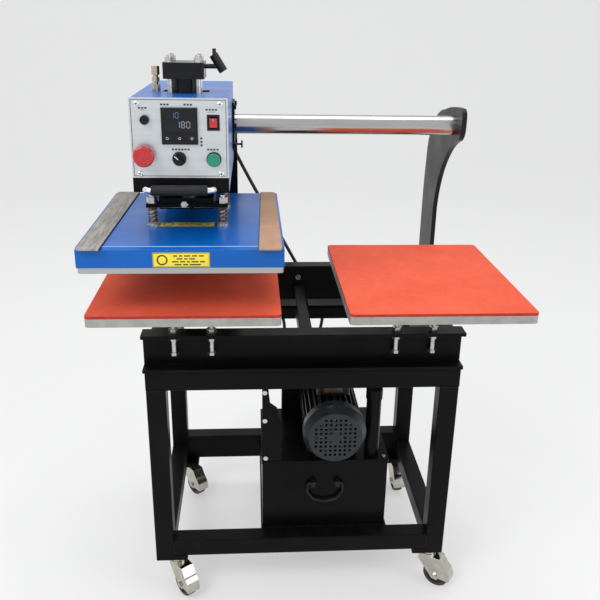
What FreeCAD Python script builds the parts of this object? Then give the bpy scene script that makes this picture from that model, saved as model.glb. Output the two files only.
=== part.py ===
import FreeCAD, Part
import math
import os

# Double-station heat press on a castered stand.
# X runs across the machine, Y from the operator's side to the back, Z up.  Millimetres.
# The parts are laid out from the machine's centre plane (X = 0), the front edge of the
# lower platens (Y = 0) and a level 40 mm below the floor (Z = 0).  save() then shifts them
# so that the origin is the middle of the base of the whole machine's bounding box.

V = FreeCAD.Vector
UP = V(0, 0, 1)
RIGHT = V(1, 0, 0)
BACK = V(0, 1, 0)

# ---- driving dimensions ------------------------------------------------------------------
FLOOR_Z = 40.0              # the floor the casters stand on
TUBE = 50.0                 # square tube of the stand
STAND_HALF = 401.0          # half the width over the stand's legs
STAND_FRONT = 275.0         # front face of the front legs
STAND_BACK = 815.0          # rear face of the rear legs
LEG_BOTTOM = 150.0
STAND_TOP = 726.0           # top of the stand's upper rails
LOWER_RAIL_Z = 164.0        # underside of the lower rails
REAR_RAIL_HEIGHT = 83.0     # the lower rear rail is a taller tube

BEAM_TOP = 827.0            # top of the front channel, side beams and centre bar
CHANNEL_DEPTH = 48.0
CHANNEL_WALL = 9.0
CHANNEL_HALF = 406.0
REAR_BEAM_FRONT = 650.0
REAR_BEAM_THICK = 43.0
REAR_BEAM_TOP = 883.0

STATION_X = 271.0           # centre of each lower platen, left and right of the middle
PLATEN_W = 400.0
PLATEN_L = 500.0
PLATEN_TOP = 986.0
PLATEN_THICK = 18.0
PAD_THICK = 6.0
STUD_FRONT_Y = 300.0        # levelling studs under the platens
STUD_REAR_Y = 480.0

ARM_INNER = 384.0
ARM_THICK = 12.0
GUIDE_Y = 490.0
GUIDE_Z = 1311.0
GUIDE_R = 24.0

HEAD_X = -STATION_X         # the head stands over the left platen
BOX_X = HEAD_X - 3.25       # centre of the head box, a little left of the press axis
HEAD_HALF = 97.5            # half the width of the head box
HEAD_FRONT = 115.0
HEAD_BACK = 560.0
HEAD_BOTTOM = 1222.0
HEAD_FLOOR = 1250.0         # top of the black base block
HEAD_TOP = 1408.0
SHEET = 2.0
PRESS_Y = 260.0             # axis of the press cylinder
PANEL_FACE = 111.0

HOUSING_HALF = 205.0
HOUSING_L = 490.0
HOUSING_Z = 1095.0
HOUSING_TOP = 1135.0
HEATER_BOTTOM = 1083.0
STUD_LEFT, STUD_RIGHT = -73.5, 77.0
STUD_DY = 85.0
PLATE_Z = 1173.0
PLATE_TOP = 1197.0

TANK_X0, TANK_X1 = -107.0, 240.0
TANK_Y0, TANK_Y1 = 330.0, 620.0
TANK_TOP = 420.0
MOTOR_X, MOTOR_Z = 88.0, 516.0
MOTOR_FRONT = 300.0
MOTOR_R = 86.0
COWL_FACE_R = 72.0          # the fan cover tapers to this at its grille
COWL_TAPER = 24.0

BAIL_X, BAIL_Z = 66.0, 360.0
BAIL_HALF = 42.0
BAIL_WIRE = 4.0

FOOT = 86.0                 # square block under each leg that carries the caster
CASTER_R = 37.5
CASTER_TRAIL = 33.0
FORK_HALF = 18.0
FORK_SLOT = 15.0            # half the gap between the cheeks
FIT = 0.05                  # radial running clearance

# casters: swivel axis across and back, and the way the wheel trails, in degrees from +X
CASTERS = {
    "front_left": (-343.0, 300.0, -53.0),
    "front_right": (366.0, 300.0, -36.0),
    "rear_left": (-346.0, 774.0, -52.0),
    "rear_right": (356.0, 774.0, -84.0),
}

PANEL_Z = 1252.0            # foot and height of the control panel
PANEL_H = 158.5
STOP_AT = (-71.0, 46.0)     # panel items: offset across and height above the panel's foot
SELECTOR_AT = (-1.7, 39.0)
START_AT = (67.8, 38.0)
ROCKER_AT = (68.3, 111.0)
CONTROLLER_AT = (1.2, 104.0)
CONTROLLER_HALF = 36.0
FUSE_AT = (-67.0, 116.0)
TIE_DX, TIE_DY = 30.0, 35.0
ROCKER_W, ROCKER_H = 15.0, 21.0
ROCKER_PIN_R = 1.2

HANDLE_X = HEAD_X - 4.5
HANDLE_Y, HANDLE_Z = 77.0, 1233.0
HANDLE_HALF = 69.0
SHOE_GAP = 0.5
SHOE_LIP = 20.0             # how far the shoe hangs down each side of the rear beam
KNOB_Y, KNOB_Z = 424.0, 1271.5
HOSE_R = 5.0

GUARD_FRONT = -14.0         # front end of the edge guards, the foremost point of the machine
X_MID = (HEAD_X - HOUSING_HALF + STATION_X + PLATEN_W / 2) / 2
Y_MID = (GUARD_FRONT + STAND_BACK) / 2

stud_xs = [sx * x for sx in (-1, 1) for x in (233.0, 327.0)]

os.makedirs("parts", exist_ok=True)


# ---- helpers -----------------------------------------------------------------------------
def save(name, *shapes):
    """Write one node: a single solid, or a group of separate like solids."""
    shape = shapes[0] if len(shapes) == 1 else Part.makeCompound(list(shapes))
    shape = shape.copy()
    shape.translate(V(-X_MID, -Y_MID, -FLOOR_Z))
    shape.exportStep("parts/" + name + ".step")


def box(x0, x1, y0, y1, z0, z1):
    return Part.makeBox(x1 - x0, y1 - y0, z1 - z0, V(x0, y0, z0))


def rod(r, length, start, axis=UP):
    return Part.makeCylinder(r, length, V(*start), axis)


def ring(r_out, r_in, length, start, axis=UP):
    return rod(r_out, length, start, axis).cut(rod(r_in, length, start, axis))


def hexagon(flats, length, start, axis=UP):
    """A hexagonal prism, such as a nut or a bolt head."""
    r = flats / math.sqrt(3)
    base = Part.makePolygon([V(r * math.cos(k * math.pi / 3), r * math.sin(k * math.pi / 3), 0)
                             for k in range(7)])
    prism = Part.Face(base).extrude(V(0, 0, length))
    prism.Placement = FreeCAD.Placement(V(*start), FreeCAD.Rotation(UP, axis))
    return prism


def square_tube(x0, x1, y0, y1, z0, z1, along, wall=3.0):
    """A square tube, hollow along the named axis, with rounded long edges."""
    outer = box(x0, x1, y0, y1, z0, z1)
    long_edges = [e for e in outer.Edges
                  if abs(e.tangentAt(e.FirstParameter).dot(along)) > 0.9]
    outer = outer.makeFillet(4.0, long_edges)
    keep = V(1, 1, 1) - along
    dx, dy, dz = wall * keep.x, wall * keep.y, wall * keep.z
    return outer.cut(box(x0 + dx, x1 - dx, y0 + dy, y1 - dy, z0 + dz, z1 - dz))


def vertical_fillet(shape, r):
    edges = [e for e in shape.Edges if e.Length > 1 and abs(e.tangentAt(e.FirstParameter).z) > 0.99]
    return shape.makeFillet(r, edges)


def mirror_x(shape):
    return shape.mirror(V(0, 0, 0), RIGHT)


def pipe(points, r, bend):
    """A round bar or hose along straight runs joined by tangent arcs of the given radii."""
    points = [V(*p) for p in points]
    edges = []
    start = points[0]
    for i in range(1, len(points) - 1):
        before = (points[i - 1] - points[i]).normalize()
        after = (points[i + 1] - points[i]).normalize()
        half = before.getAngle(after) / 2
        cut = bend[i - 1] / math.tan(half)
        first = points[i] + before * cut
        last = points[i] + after * cut
        centre_way = (before + after).normalize()
        middle = points[i] + centre_way * (bend[i - 1] / math.sin(half) - bend[i - 1])
        if (first - start).Length > 1e-6:
            edges.append(Part.LineSegment(start, first).toShape())
        edges.append(Part.Arc(first, middle, last).toShape())
        start = last
    edges.append(Part.LineSegment(start, points[-1]).toShape())
    path = Part.Wire(edges)
    section = Part.Wire(Part.makeCircle(r, points[0], points[1] - points[0]))
    return path.makePipeShell([section], True, True)


def hose_radii(points):
    """Arc radii for a hose: 0.45 of the shorter run, over the tangent of half the turn."""
    points = [V(*p) for p in points]
    radii = []
    for i in range(1, len(points) - 1):
        a = points[i] - points[i - 1]
        b = points[i + 1] - points[i]
        radii.append(0.45 * min(a.Length, b.Length) / math.tan(a.getAngle(b) / 2))
    return radii


def extruded(points_or_edges, way):
    return Part.Face(Part.Wire(points_or_edges)).extrude(way)


# ---- welded stand ------------------------------------------------------------------------
leg_x = STAND_HALF - TUBE
rear_leg_y = STAND_BACK - TUBE
lower_z1 = LOWER_RAIL_Z + TUBE


def make_legs():
    legs = []
    for name, (x, y, heading) in CASTERS.items():
        left, front = "left" in name, "front" in name
        x0 = -STAND_HALF if left else leg_x
        y0 = STAND_FRONT if front else rear_leg_y
        tube = square_tube(x0, x0 + TUBE, y0, y0 + TUBE, LEG_BOTTOM, STAND_TOP - TUBE, UP)
        foot_x = x0 if left else x0 + TUBE - FOOT
        foot_y = y0 if front else y0 + TUBE - FOOT
        foot = box(foot_x, foot_x + FOOT, foot_y, foot_y + FOOT, LEG_BOTTOM, LOWER_RAIL_Z)
        foot = vertical_fillet(foot, 4.0)
        legs.append(tube.fuse(foot).cut(rod(8.0, 12.0, (x, y, LEG_BOTTOM))))
    save("stand_legs", *legs)


def make_rails():
    top0 = STAND_TOP - TUBE
    inner_y0 = STAND_FRONT + TUBE
    rails = []
    for y0 in (STAND_FRONT, rear_leg_y):
        rail = square_tube(-STAND_HALF, STAND_HALF, y0, y0 + TUBE, top0, STAND_TOP, RIGHT)
        for x in (-STAND_HALF, STAND_HALF - 4):
            rail = rail.fuse(box(x, x + 4, y0 + 2, y0 + TUBE - 2, top0 + 2, STAND_TOP - 2))
        rails.append(rail)
    rails += [
        square_tube(-leg_x, leg_x, STAND_FRONT, inner_y0, LOWER_RAIL_Z, lower_z1, RIGHT),
        square_tube(-leg_x, leg_x, rear_leg_y, STAND_BACK, LOWER_RAIL_Z,
                    LOWER_RAIL_Z + REAR_RAIL_HEIGHT, RIGHT),
    ]
    for x0 in (-STAND_HALF, leg_x):
        rails.append(square_tube(x0, x0 + TUBE, inner_y0, rear_leg_y, top0, STAND_TOP, BACK))
        rails.append(square_tube(x0, x0 + TUBE, inner_y0, rear_leg_y, LOWER_RAIL_Z, lower_z1, BACK))
    rails.append(box(TANK_X0 - 4, TANK_X1 + 4, inner_y0, rear_leg_y, lower_z1 - 4, lower_z1))
    save("stand_rails", *rails)


def make_machine_frame():
    z0 = STAND_TOP
    y1 = STAND_FRONT + CHANNEL_DEPTH
    channel = box(-CHANNEL_HALF, CHANNEL_HALF, STAND_FRONT, y1, z0, BEAM_TOP)
    channel = channel.cut(box(-CHANNEL_HALF, CHANNEL_HALF, STAND_FRONT, y1 - CHANNEL_WALL,
                              z0 + CHANNEL_WALL, BEAM_TOP - CHANNEL_WALL))
    for x in stud_xs:
        channel = channel.cut(rod(6.2, 40, (x, STUD_FRONT_Y, BEAM_TOP - 30)))
    save("front_channel", channel)

    beam = box(-ARM_INNER, ARM_INNER, REAR_BEAM_FRONT, REAR_BEAM_FRONT + REAR_BEAM_THICK,
               z0, REAR_BEAM_TOP)
    long_edges = [e for e in beam.Edges if abs(e.tangentAt(e.FirstParameter).x) > 0.9
                  and e.CenterOfMass.z > REAR_BEAM_TOP - 1]
    beam = beam.makeFillet(4.0, long_edges)
    beam = beam.fuse(box(-leg_x + 1, leg_x - 1, REAR_BEAM_FRONT,
                         REAR_BEAM_FRONT + REAR_BEAM_THICK, z0 - 9, z0))
    save("rear_beam", beam.cut(box(-ARM_INNER, ARM_INNER, REAR_BEAM_FRONT + 5,
                                   REAR_BEAM_FRONT + REAR_BEAM_THICK - 5, z0 + 5,
                                   REAR_BEAM_TOP - 5)))

    bars = [square_tube(-12, 20, y1, REAR_BEAM_FRONT, BEAM_TOP - 40, BEAM_TOP, BACK)]
    for x0 in (-ARM_INNER, ARM_INNER - TUBE):
        side = box(x0, x0 + TUBE, y1, STAND_BACK, z0, BEAM_TOP)
        side = side.cut(box(x0 + 4, x0 + TUBE - 4, y1, STAND_BACK - 4, z0 + 4,
                            BEAM_TOP - 4))
        side = side.cut(box(x0, x0 + TUBE, REAR_BEAM_FRONT, REAR_BEAM_FRONT + REAR_BEAM_THICK,
                            z0, BEAM_TOP))
        bars += side.Solids
    for x0, x1 in ((-ARM_INNER, -12.0), (20.0, ARM_INNER)):
        bearer = box(x0, x1, STUD_REAR_Y - 25, STUD_REAR_Y + 25, BEAM_TOP, BEAM_TOP + 8)
        for x in stud_xs:
            bearer = bearer.cut(rod(6.2, 8, (x, STUD_REAR_Y, BEAM_TOP)))
        bars.append(bearer)
    save("frame_bars", *bars)


def make_arms():
    """Gooseneck plates: a straight post whose head leans forward over the platens."""
    def at(y, z):
        return V(ARM_INNER, y, z)

    def line(a, b):
        return Part.LineSegment(at(*a), at(*b)).toShape()

    def arc(a, m, b):
        return Part.Arc(at(*a), at(*m), at(*b)).toShape()

    outline = [
        line((635, STAND_TOP), (635, 1062)),
        arc((635, 1062), (606, 1147), (545, 1222)),
        arc((545, 1222), (507, 1251), (448, 1278)),
        arc((448, 1278), (424, 1292), (415, 1316)),
        line((415, 1316), (415, 1338)),
        arc((415, 1338), (421, 1353), (436, 1359)),
        arc((436, 1359), (500, 1356), (590, 1340)),
        arc((590, 1340), (640, 1329), (680, 1310)),
        arc((680, 1310), (735, 1262), (760, 1180)),
        arc((760, 1180), (768, 1120), (771, 1050)),
        line((771, 1050), (771, STAND_TOP)),
        line((771, STAND_TOP), (635, STAND_TOP)),
    ]
    plate = extruded(outline, V(ARM_THICK, 0, 0))
    plate = plate.cut(rod(8.2, ARM_THICK, (ARM_INNER, GUIDE_Y, GUIDE_Z), RIGHT))
    for z in (760.0, 800.0):
        for y in (720.0, 755.0):
            plate = plate.cut(rod(6.2, ARM_THICK, (ARM_INNER, y, z), RIGHT))
    save("gooseneck_arms", plate, mirror_x(plate))


def make_guide_tube():
    tube = ring(GUIDE_R, 8.2, 2 * ARM_INNER, (-ARM_INNER, GUIDE_Y, GUIDE_Z), RIGHT)
    save("guide_tube", tube)


def make_frame_bolts():
    bolts = []
    for side in (-1, 1):
        way = V(side, 0, 0)
        face = side * (ARM_INNER + ARM_THICK)
        head = hexagon(24, 10, (face, GUIDE_Y, GUIDE_Z), way)
        shank = rod(8.0, 60, (face - side * 60, GUIDE_Y, GUIDE_Z), way)
        bolts.append(head.fuse(shank))
        for z in (760.0, 800.0):
            for y in (720.0, 755.0):
                head = hexagon(18, 8, (face, y, z), way)
                bolts.append(head.fuse(rod(6.0, ARM_THICK, (face - side * ARM_THICK, y, z), way)))
    for x, z in ((-100, 640), (-100, 556), (-98, 440)):
        bolts.append(hexagon(12, 5, (x, TANK_Y0 - 5, z), BACK))
    bolts.append(hexagon(10, 5, (229, TANK_Y0 + 10, TANK_TOP + 8)))
    bolts.append(hexagon(14, 6, (3, REAR_BEAM_FRONT - 6, 850), BACK))
    save("frame_bolts", *bolts)


# ---- lower platens -----------------------------------------------------------------------
def make_lower_platens():
    plates, pads = [], []
    for x in (-STATION_X, STATION_X):
        x0, x1 = x - PLATEN_W / 2, x + PLATEN_W / 2
        z0 = PLATEN_TOP - PLATEN_THICK
        plates.append(vertical_fillet(box(x0, x1, 0, PLATEN_L, z0, PLATEN_TOP), 10.0))
        pads.append(vertical_fillet(box(x0, x1, 0, PLATEN_L, PLATEN_TOP, PLATEN_TOP + PAD_THICK),
                                    10.0))
    save("lower_platens", *plates)
    save("silicone_pads", *pads)


def make_platen_studs():
    """Levelling studs: nut under the platen, nut on the flange, nut and head below it."""
    z_top = PLATEN_TOP - PLATEN_THICK
    studs = []
    for x in stud_xs:
        front = rod(6.0, z_top - 766, (x, STUD_FRONT_Y, 766))
        for z, flats, height in ((766, 18, 8), (BEAM_TOP - CHANNEL_WALL - 12, 20, 12),
                                 (BEAM_TOP, 22, 10), (z_top - 12, 22, 12)):
            front = front.fuse(hexagon(flats, height, (x, STUD_FRONT_Y, z)))
        studs.append(front)
        rear = rod(6.0, z_top - BEAM_TOP + 12, (x, STUD_REAR_Y, BEAM_TOP - 12))
        for z in (BEAM_TOP + 8, z_top - 12):
            rear = rear.fuse(hexagon(22, 10, (x, STUD_REAR_Y, z)))
        studs.append(rear)
    save("platen_studs", *studs)


# ---- hydraulic power unit ----------------------------------------------------------------
def make_tank():
    tank = box(TANK_X0, TANK_X1, TANK_Y0, TANK_Y1, lower_z1, TANK_TOP)
    tank = vertical_fillet(tank, 5.0)
    tank = tank.cut(box(TANK_X0 + 3, TANK_X1 - 3, TANK_Y0 + 3, TANK_Y1 - 3, lower_z1 + 3, TANK_TOP))
    save("oil_tank", tank)
    lid = vertical_fillet(box(TANK_X0 - 2, TANK_X1 + 2, TANK_Y0 - 2, TANK_Y1 + 2,
                              TANK_TOP, TANK_TOP + 8), 5.0)
    save("tank_lid", lid)


def make_bail():
    """Drop handle on the tank's front, hung from two brackets."""
    y = TANK_Y0 - 9
    brackets = []
    for side in (-1, 1):
        x = BAIL_X + side * (BAIL_HALF - 8)
        lug = box(x - 6, x + 6, y - 8, TANK_Y0, BAIL_Z - 8, BAIL_Z + 8)
        brackets.append(lug.cut(rod(BAIL_WIRE + FIT, 12, (x - 6, y, BAIL_Z), RIGHT)))
    save("bail_brackets", *brackets)
    inner = BAIL_HALF - 18
    points = [(BAIL_X - inner, y, BAIL_Z), (BAIL_X - BAIL_HALF - 5, y, BAIL_Z),
              (BAIL_X - BAIL_HALF - 8, y, BAIL_Z - 26), (BAIL_X - BAIL_HALF + 10, y, BAIL_Z - 52),
              (BAIL_X, y, BAIL_Z - 60), (BAIL_X + BAIL_HALF - 10, y, BAIL_Z - 52),
              (BAIL_X + BAIL_HALF + 8, y, BAIL_Z - 26), (BAIL_X + BAIL_HALF + 5, y, BAIL_Z),
              (BAIL_X + inner, y, BAIL_Z)]
    save("tank_bail", pipe(points, BAIL_WIRE, [7, 8, 10, 30, 10, 8, 7]))


def make_motor():
    start = MOTOR_FRONT + 48
    length = 210.0
    axis_point = (MOTOR_X, start, MOTOR_Z)
    body = rod(70.0, length, axis_point, BACK)
    body = body.fuse(rod(MOTOR_R - 3.55, 8, (MOTOR_X, start - 6, MOTOR_Z), BACK))
    for k in range(28):
        turn = 360.0 * k / 28
        fin = box(MOTOR_X - 1.6, MOTOR_X + 1.6, start + 6, start + length - 6,
                  MOTOR_Z + 66, MOTOR_Z + 81)
        fin.rotate(V(*axis_point), BACK, turn)
        body = body.fuse(fin)
    for y in (start + 30, start + 150):
        body = body.fuse(box(MOTOR_X - 70, MOTOR_X + 70, y, y + 28, TANK_TOP + 8, MOTOR_Z - 55))
    bore = rod(12.0, length + 20, (MOTOR_X, start - 10, MOTOR_Z), BACK)
    terminal = vertical_fillet(box(MOTOR_X - 45, MOTOR_X + 45, start + 40, start + 140,
                                   MOTOR_Z + 82, MOTOR_Z + 118), 6.0)
    save("motor_body", body.cut(bore), terminal)


def make_fan_cover():
    start = (MOTOR_X, MOTOR_FRONT, MOTOR_Z)
    cover = Part.makeCone(COWL_FACE_R, MOTOR_R, COWL_TAPER, V(*start), BACK)
    cover = cover.fuse(rod(MOTOR_R, 50 - COWL_TAPER, (MOTOR_X, MOTOR_FRONT + COWL_TAPER, MOTOR_Z), BACK))
    inside = Part.makeCone(COWL_FACE_R - 2, MOTOR_R - 3.5, COWL_TAPER - 4,
                           V(MOTOR_X, MOTOR_FRONT + 4, MOTOR_Z), BACK)
    inside = inside.fuse(rod(MOTOR_R - 3.5, 50 - COWL_TAPER,
                             (MOTOR_X, MOTOR_FRONT + COWL_TAPER, MOTOR_Z), BACK))
    cover = cover.cut(inside)
    holes = []
    pitch = 13.0
    for i in range(-4, 5):
        for j in range(-4, 5):
            r = math.hypot(i, j) * pitch
            if 18 < r < 62:
                holes.append(rod(4.0, 12, (MOTOR_X + i * pitch, MOTOR_FRONT - 3,
                                           MOTOR_Z + j * pitch), BACK))
    save("fan_cover", cover.cut(Part.makeCompound(holes)))


def make_motor_fan():
    y0 = MOTOR_FRONT + 16
    shaft = rod(9.0, 250, (MOTOR_X, y0, MOTOR_Z), BACK)
    fan = shaft.fuse(rod(20.0, 22, (MOTOR_X, y0 + 2, MOTOR_Z), BACK))
    for k in range(7):
        blade = box(MOTOR_X - 1.5, MOTOR_X + 1.5, y0 + 2, y0 + 22, MOTOR_Z + 15, MOTOR_Z + 62)
        blade.rotate(V(MOTOR_X, y0, MOTOR_Z), BACK, 360.0 * k / 7)
        fan = fan.fuse(blade)
    save("motor_fan", fan)


def make_unit_parts():
    block = vertical_fillet(box(-45, 75, 572, 612, TANK_TOP + 8, 640), 4.0)
    block = block.fuse(box(40, 136, 572, 612, TANK_TOP + 8, 570))
    block = block.cut(rod(12.0, 22, (MOTOR_X, 570, MOTOR_Z), BACK))
    save("pump_block", block)
    x, y = 197.0, 362.0
    can = rod(20.0, 180, (x, y, TANK_TOP + 8))
    can = can.fuse(rod(22.5, 34, (x, y, 602)))
    lid = [e for e in can.Edges if abs(e.CenterOfMass.z - 636) < 0.01]
    can = can.makeFillet(7.0, lid)
    save("filter_canister", can)
    plate = box(TANK_X0, TANK_X0 + 52, TANK_Y0, TANK_Y0 + 6, TANK_TOP + 8, 700)
    notch = extruded([Part.makePolygon([V(-90, TANK_Y0, 700), V(-50, TANK_Y0, 700),
                                        V(-50, TANK_Y0, 540), V(-57, TANK_Y0, 545),
                                        V(-68, TANK_Y0, 592), V(-86, TANK_Y0, 606),
                                        V(-90, TANK_Y0, 640), V(-90, TANK_Y0, 700)])],
                     V(0, 6, 0))
    save("unit_side_plate", plate.cut(notch))


# ---- casters -----------------------------------------------------------------------------
def make_casters():
    stems = []
    for name, (x, y, heading) in CASTERS.items():
        stem = rod(8.0, 38, (x, y, LEG_BOTTOM - 26))
        stem = stem.fuse(rod(23.0, 7, (x, y, LEG_BOTTOM - 7)))
        stem = stem.fuse(rod(13.0, 3, (x, y, LEG_BOTTOM - 26)))
        stems.append(stem)

        axle_x = x + CASTER_TRAIL
        axle_z = FLOOR_Z + CASTER_R
        top = LEG_BOTTOM - 8
        neck = extruded([Part.makePolygon([V(x - 20, y - FORK_HALF, top - 6),
                                           V(axle_x + 10, y - FORK_HALF, top - 6),
                                           V(axle_x + 26, y - FORK_HALF, axle_z + 34),
                                           V(axle_x + 8, y - FORK_HALF, axle_z - 13),
                                           V(axle_x - 8, y - FORK_HALF, axle_z - 13),
                                           V(x - 20, y - FORK_HALF, top - 24),
                                           V(x - 20, y - FORK_HALF, top - 6)])],
                        V(0, 2 * FORK_HALF, 0))
        hood = rod(CASTER_R + 6, 2 * FORK_HALF, (axle_x, y - FORK_HALF, axle_z), BACK)
        hood = hood.common(box(axle_x - 12, axle_x + 60, y - 30, y + 30, axle_z - 6, top))
        fork = neck.fuse(hood).fuse(rod(24.0, 6, (x, y, top - 6)))
        fork = fork.cut(rod(CASTER_R + 3.5, 2 * FORK_SLOT, (axle_x, y - FORK_SLOT, axle_z), BACK))
        fork = fork.cut(box(x - 30, axle_x, y - FORK_SLOT, y + FORK_SLOT, axle_z - 20, top - 12))
        fork = fork.cut(rod(8.0 + FIT, 20, (x, y, top - 16)))
        fork = fork.cut(rod(4.0, 60, (axle_x, y - 30, axle_z), BACK))
        axle = rod(4.0, 2 * FORK_HALF + 10, (axle_x, y - FORK_HALF - 5, axle_z), BACK)
        axle = axle.fuse(hexagon(13, 5, (axle_x, y - FORK_HALF, axle_z), V(0, -1, 0)))
        axle = axle.fuse(hexagon(13, 5, (axle_x, y + FORK_HALF, axle_z), BACK))
        wheel = rod(CASTER_R, 26, (axle_x, y - 13, axle_z), BACK)
        rims = [e for e in wheel.Edges if e.Curve.TypeId == "Part::GeomCircle"]
        wheel = wheel.makeFillet(4.0, rims)
        for side in (-1, 1):
            wheel = wheel.cut(ring(27.0, 10.0, 5, (axle_x, y + side * 10.5 - 2.5, axle_z), BACK))
        wheel = wheel.fuse(rod(9.0, 29, (axle_x, y - 14.5, axle_z), BACK))
        wheel = wheel.cut(rod(4.0 + FIT, 40, (axle_x, y - 20, axle_z), BACK))
        for shape in (fork, axle, wheel):
            shape.rotate(V(x, y, 0), UP, heading)
        save("caster_fork_" + name, *fork.Solids, axle)
        save("caster_wheel_" + name, wheel)
    save("caster_stems", *stems)


# ---- sliding head ------------------------------------------------------------------------
def make_bearings():
    half = HEAD_HALF - 6
    block = box(BOX_X - half, BOX_X + half, GUIDE_Y - 78, GUIDE_Y + 55, HEAD_FLOOR, GUIDE_Z + 50)
    block = block.cut(rod(31.0, 2 * half, (BOX_X - half, GUIDE_Y, GUIDE_Z), RIGHT))
    block = block.cut(rod(2.5 + FIT, 30, (BOX_X + half - 30, KNOB_Y, KNOB_Z), RIGHT))
    bushes = [ring(31.0, GUIDE_R + FIT, 45, (x, GUIDE_Y, GUIDE_Z), RIGHT)
              for x in (BOX_X - half, BOX_X + half - 45)]
    save("tube_bushes", *bushes)
    flanges = []
    for side in (-1, 1):
        x0 = BOX_X + HEAD_HALF if side > 0 else BOX_X - HEAD_HALF - 5
        flange = box(x0, x0 + 5, GUIDE_Y - 50, GUIDE_Y + 50, GUIDE_Z - 58, GUIDE_Z + 56)
        flange = flange.cut(rod(GUIDE_R + 1.5, 5, (x0, GUIDE_Y, GUIDE_Z), RIGHT))
        for dy in (-40, 40):
            for dz in (-48, 0, 46):
                start = (x0 + 5 if side > 0 else x0, GUIDE_Y + dy, GUIDE_Z + dz)
                flange = flange.fuse(hexagon(11, 5, start, V(side, 0, 0)))
        flanges.append(flange)
    save("bearing_housing", block, *flanges)


def make_head_box():
    x0, x1 = BOX_X - HEAD_HALF, BOX_X + HEAD_HALF
    shell = box(x0, x1, HEAD_FRONT, HEAD_BACK, HEAD_BOTTOM, HEAD_TOP)
    shell = shell.cut(box(x0 + SHEET, x1 - SHEET, HEAD_FRONT, HEAD_BACK - SHEET, HEAD_BOTTOM,
                          HEAD_TOP - SHEET))
    shell = shell.cut(rod(GUIDE_R + 6, 2 * HEAD_HALF, (x0, GUIDE_Y, GUIDE_Z), RIGHT))
    shell = shell.cut(rod(2.5 + FIT, 10, (x1 - 5, KNOB_Y, KNOB_Z), RIGHT))
    opening = box(HEAD_X - 50, HEAD_X + 50, PRESS_Y + 4, PRESS_Y + 48, HEAD_TOP - 10, HEAD_TOP)
    opening = opening.fuse(rod(31.0, 10, (HEAD_X, PRESS_Y, HEAD_TOP - 10)))
    for dx in (-TIE_DX, TIE_DX):
        opening = opening.fuse(rod(6.5, 10, (HEAD_X + dx, PRESS_Y - TIE_DY, HEAD_TOP - 10)))
    save("head_box", shell.cut(opening))


def make_base_block():
    half = HEAD_HALF - SHEET
    block = box(BOX_X - half, BOX_X + half, HEAD_FRONT, HEAD_BACK - SHEET, HEAD_BOTTOM, HEAD_FLOOR)
    lip = box(BOX_X - HEAD_HALF, BOX_X + HEAD_HALF, PANEL_FACE, HEAD_FRONT, HEAD_BOTTOM, PANEL_Z)
    block = block.fuse(lip)
    block = block.cut(rod(15.0 + FIT, 28, (HEAD_X, PRESS_Y, HEAD_BOTTOM)))
    save("base_block", block)


def on_panel(place, y=PANEL_FACE):
    return (BOX_X + place[0], y, PANEL_Z + place[1])


def make_panel():
    panel = box(BOX_X - HEAD_HALF, BOX_X + HEAD_HALF, PANEL_FACE, HEAD_FRONT,
                PANEL_Z, PANEL_Z + PANEL_H)
    for place, r in ((STOP_AT, 11.0), (SELECTOR_AT, 11.0), (START_AT, 11.0), (FUSE_AT, 6.5)):
        panel = panel.cut(rod(r + 0.1, 4, on_panel(place), BACK))
    x, y, z = on_panel(ROCKER_AT)
    panel = panel.cut(box(x - 10, x + 10, y, y + 4, z - 13, z + 13))
    x, y, z = on_panel(CONTROLLER_AT)
    half = CONTROLLER_HALF - 3
    panel = panel.cut(box(x - half, x + half, y, y + 4, z - half, z + half))
    save("control_panel", panel)

    body = box(x - half, x + half, y, y + 75, z - half, z + half)
    bezel = box(x - CONTROLLER_HALF, x + CONTROLLER_HALF, y - 7, y,
                z - CONTROLLER_HALF, z + CONTROLLER_HALF)
    front = [e for e in bezel.Edges if abs(e.CenterOfMass.y - (y - 7)) < 0.01]
    save("temperature_controller", body.fuse(bezel.makeFillet(2.0, front)))


def make_panel_fittings():
    fittings = []
    for place, r_out, r_in, depth in ((STOP_AT, 14.5, 6.3, 3.0), (SELECTOR_AT, 14.0, 6.3, 3.0),
                                      (START_AT, 15.0, 11.0, 4.0)):
        collar = ring(r_out, r_in, depth, on_panel(place, PANEL_FACE - depth), BACK)
        body = ring(11.0, r_in if r_in < 11 else 6.3, 34, on_panel(place), BACK)
        fittings.append(collar.fuse(body))
    x, y, z = on_panel(ROCKER_AT)
    bezel = box(x - 12.5, x + 12.5, y - 2, y, z - 15.5, z + 15.5)
    socket = box(x - 10, x + 10, y, y + 22, z - 13, z + 13)
    bezel = bezel.fuse(socket)
    hollow = box(x - ROCKER_W / 2 - 0.4, x + ROCKER_W / 2 + 0.4, y - 2, y + 16,
                 z - ROCKER_H / 2 - 0.8, z + ROCKER_H / 2 + 0.8)
    bezel = bezel.cut(hollow)
    fittings.append(bezel.cut(rod(ROCKER_PIN_R + FIT, 18.4, (x - 9.2, y + 2.5, z), RIGHT)))
    fuse = rod(9.0, 10, on_panel(FUSE_AT, PANEL_FACE - 10), BACK)
    fuse = fuse.fuse(rod(6.5, 30, on_panel(FUSE_AT), BACK))
    fittings.append(fuse)
    for dx in (-82.0, 82.0):
        for dz in (8.5, 147.0):
            fittings.append(rod(5.0, 2.0, on_panel((dx, dz), PANEL_FACE - 2), BACK))
    save("panel_fittings", *fittings)


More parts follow.
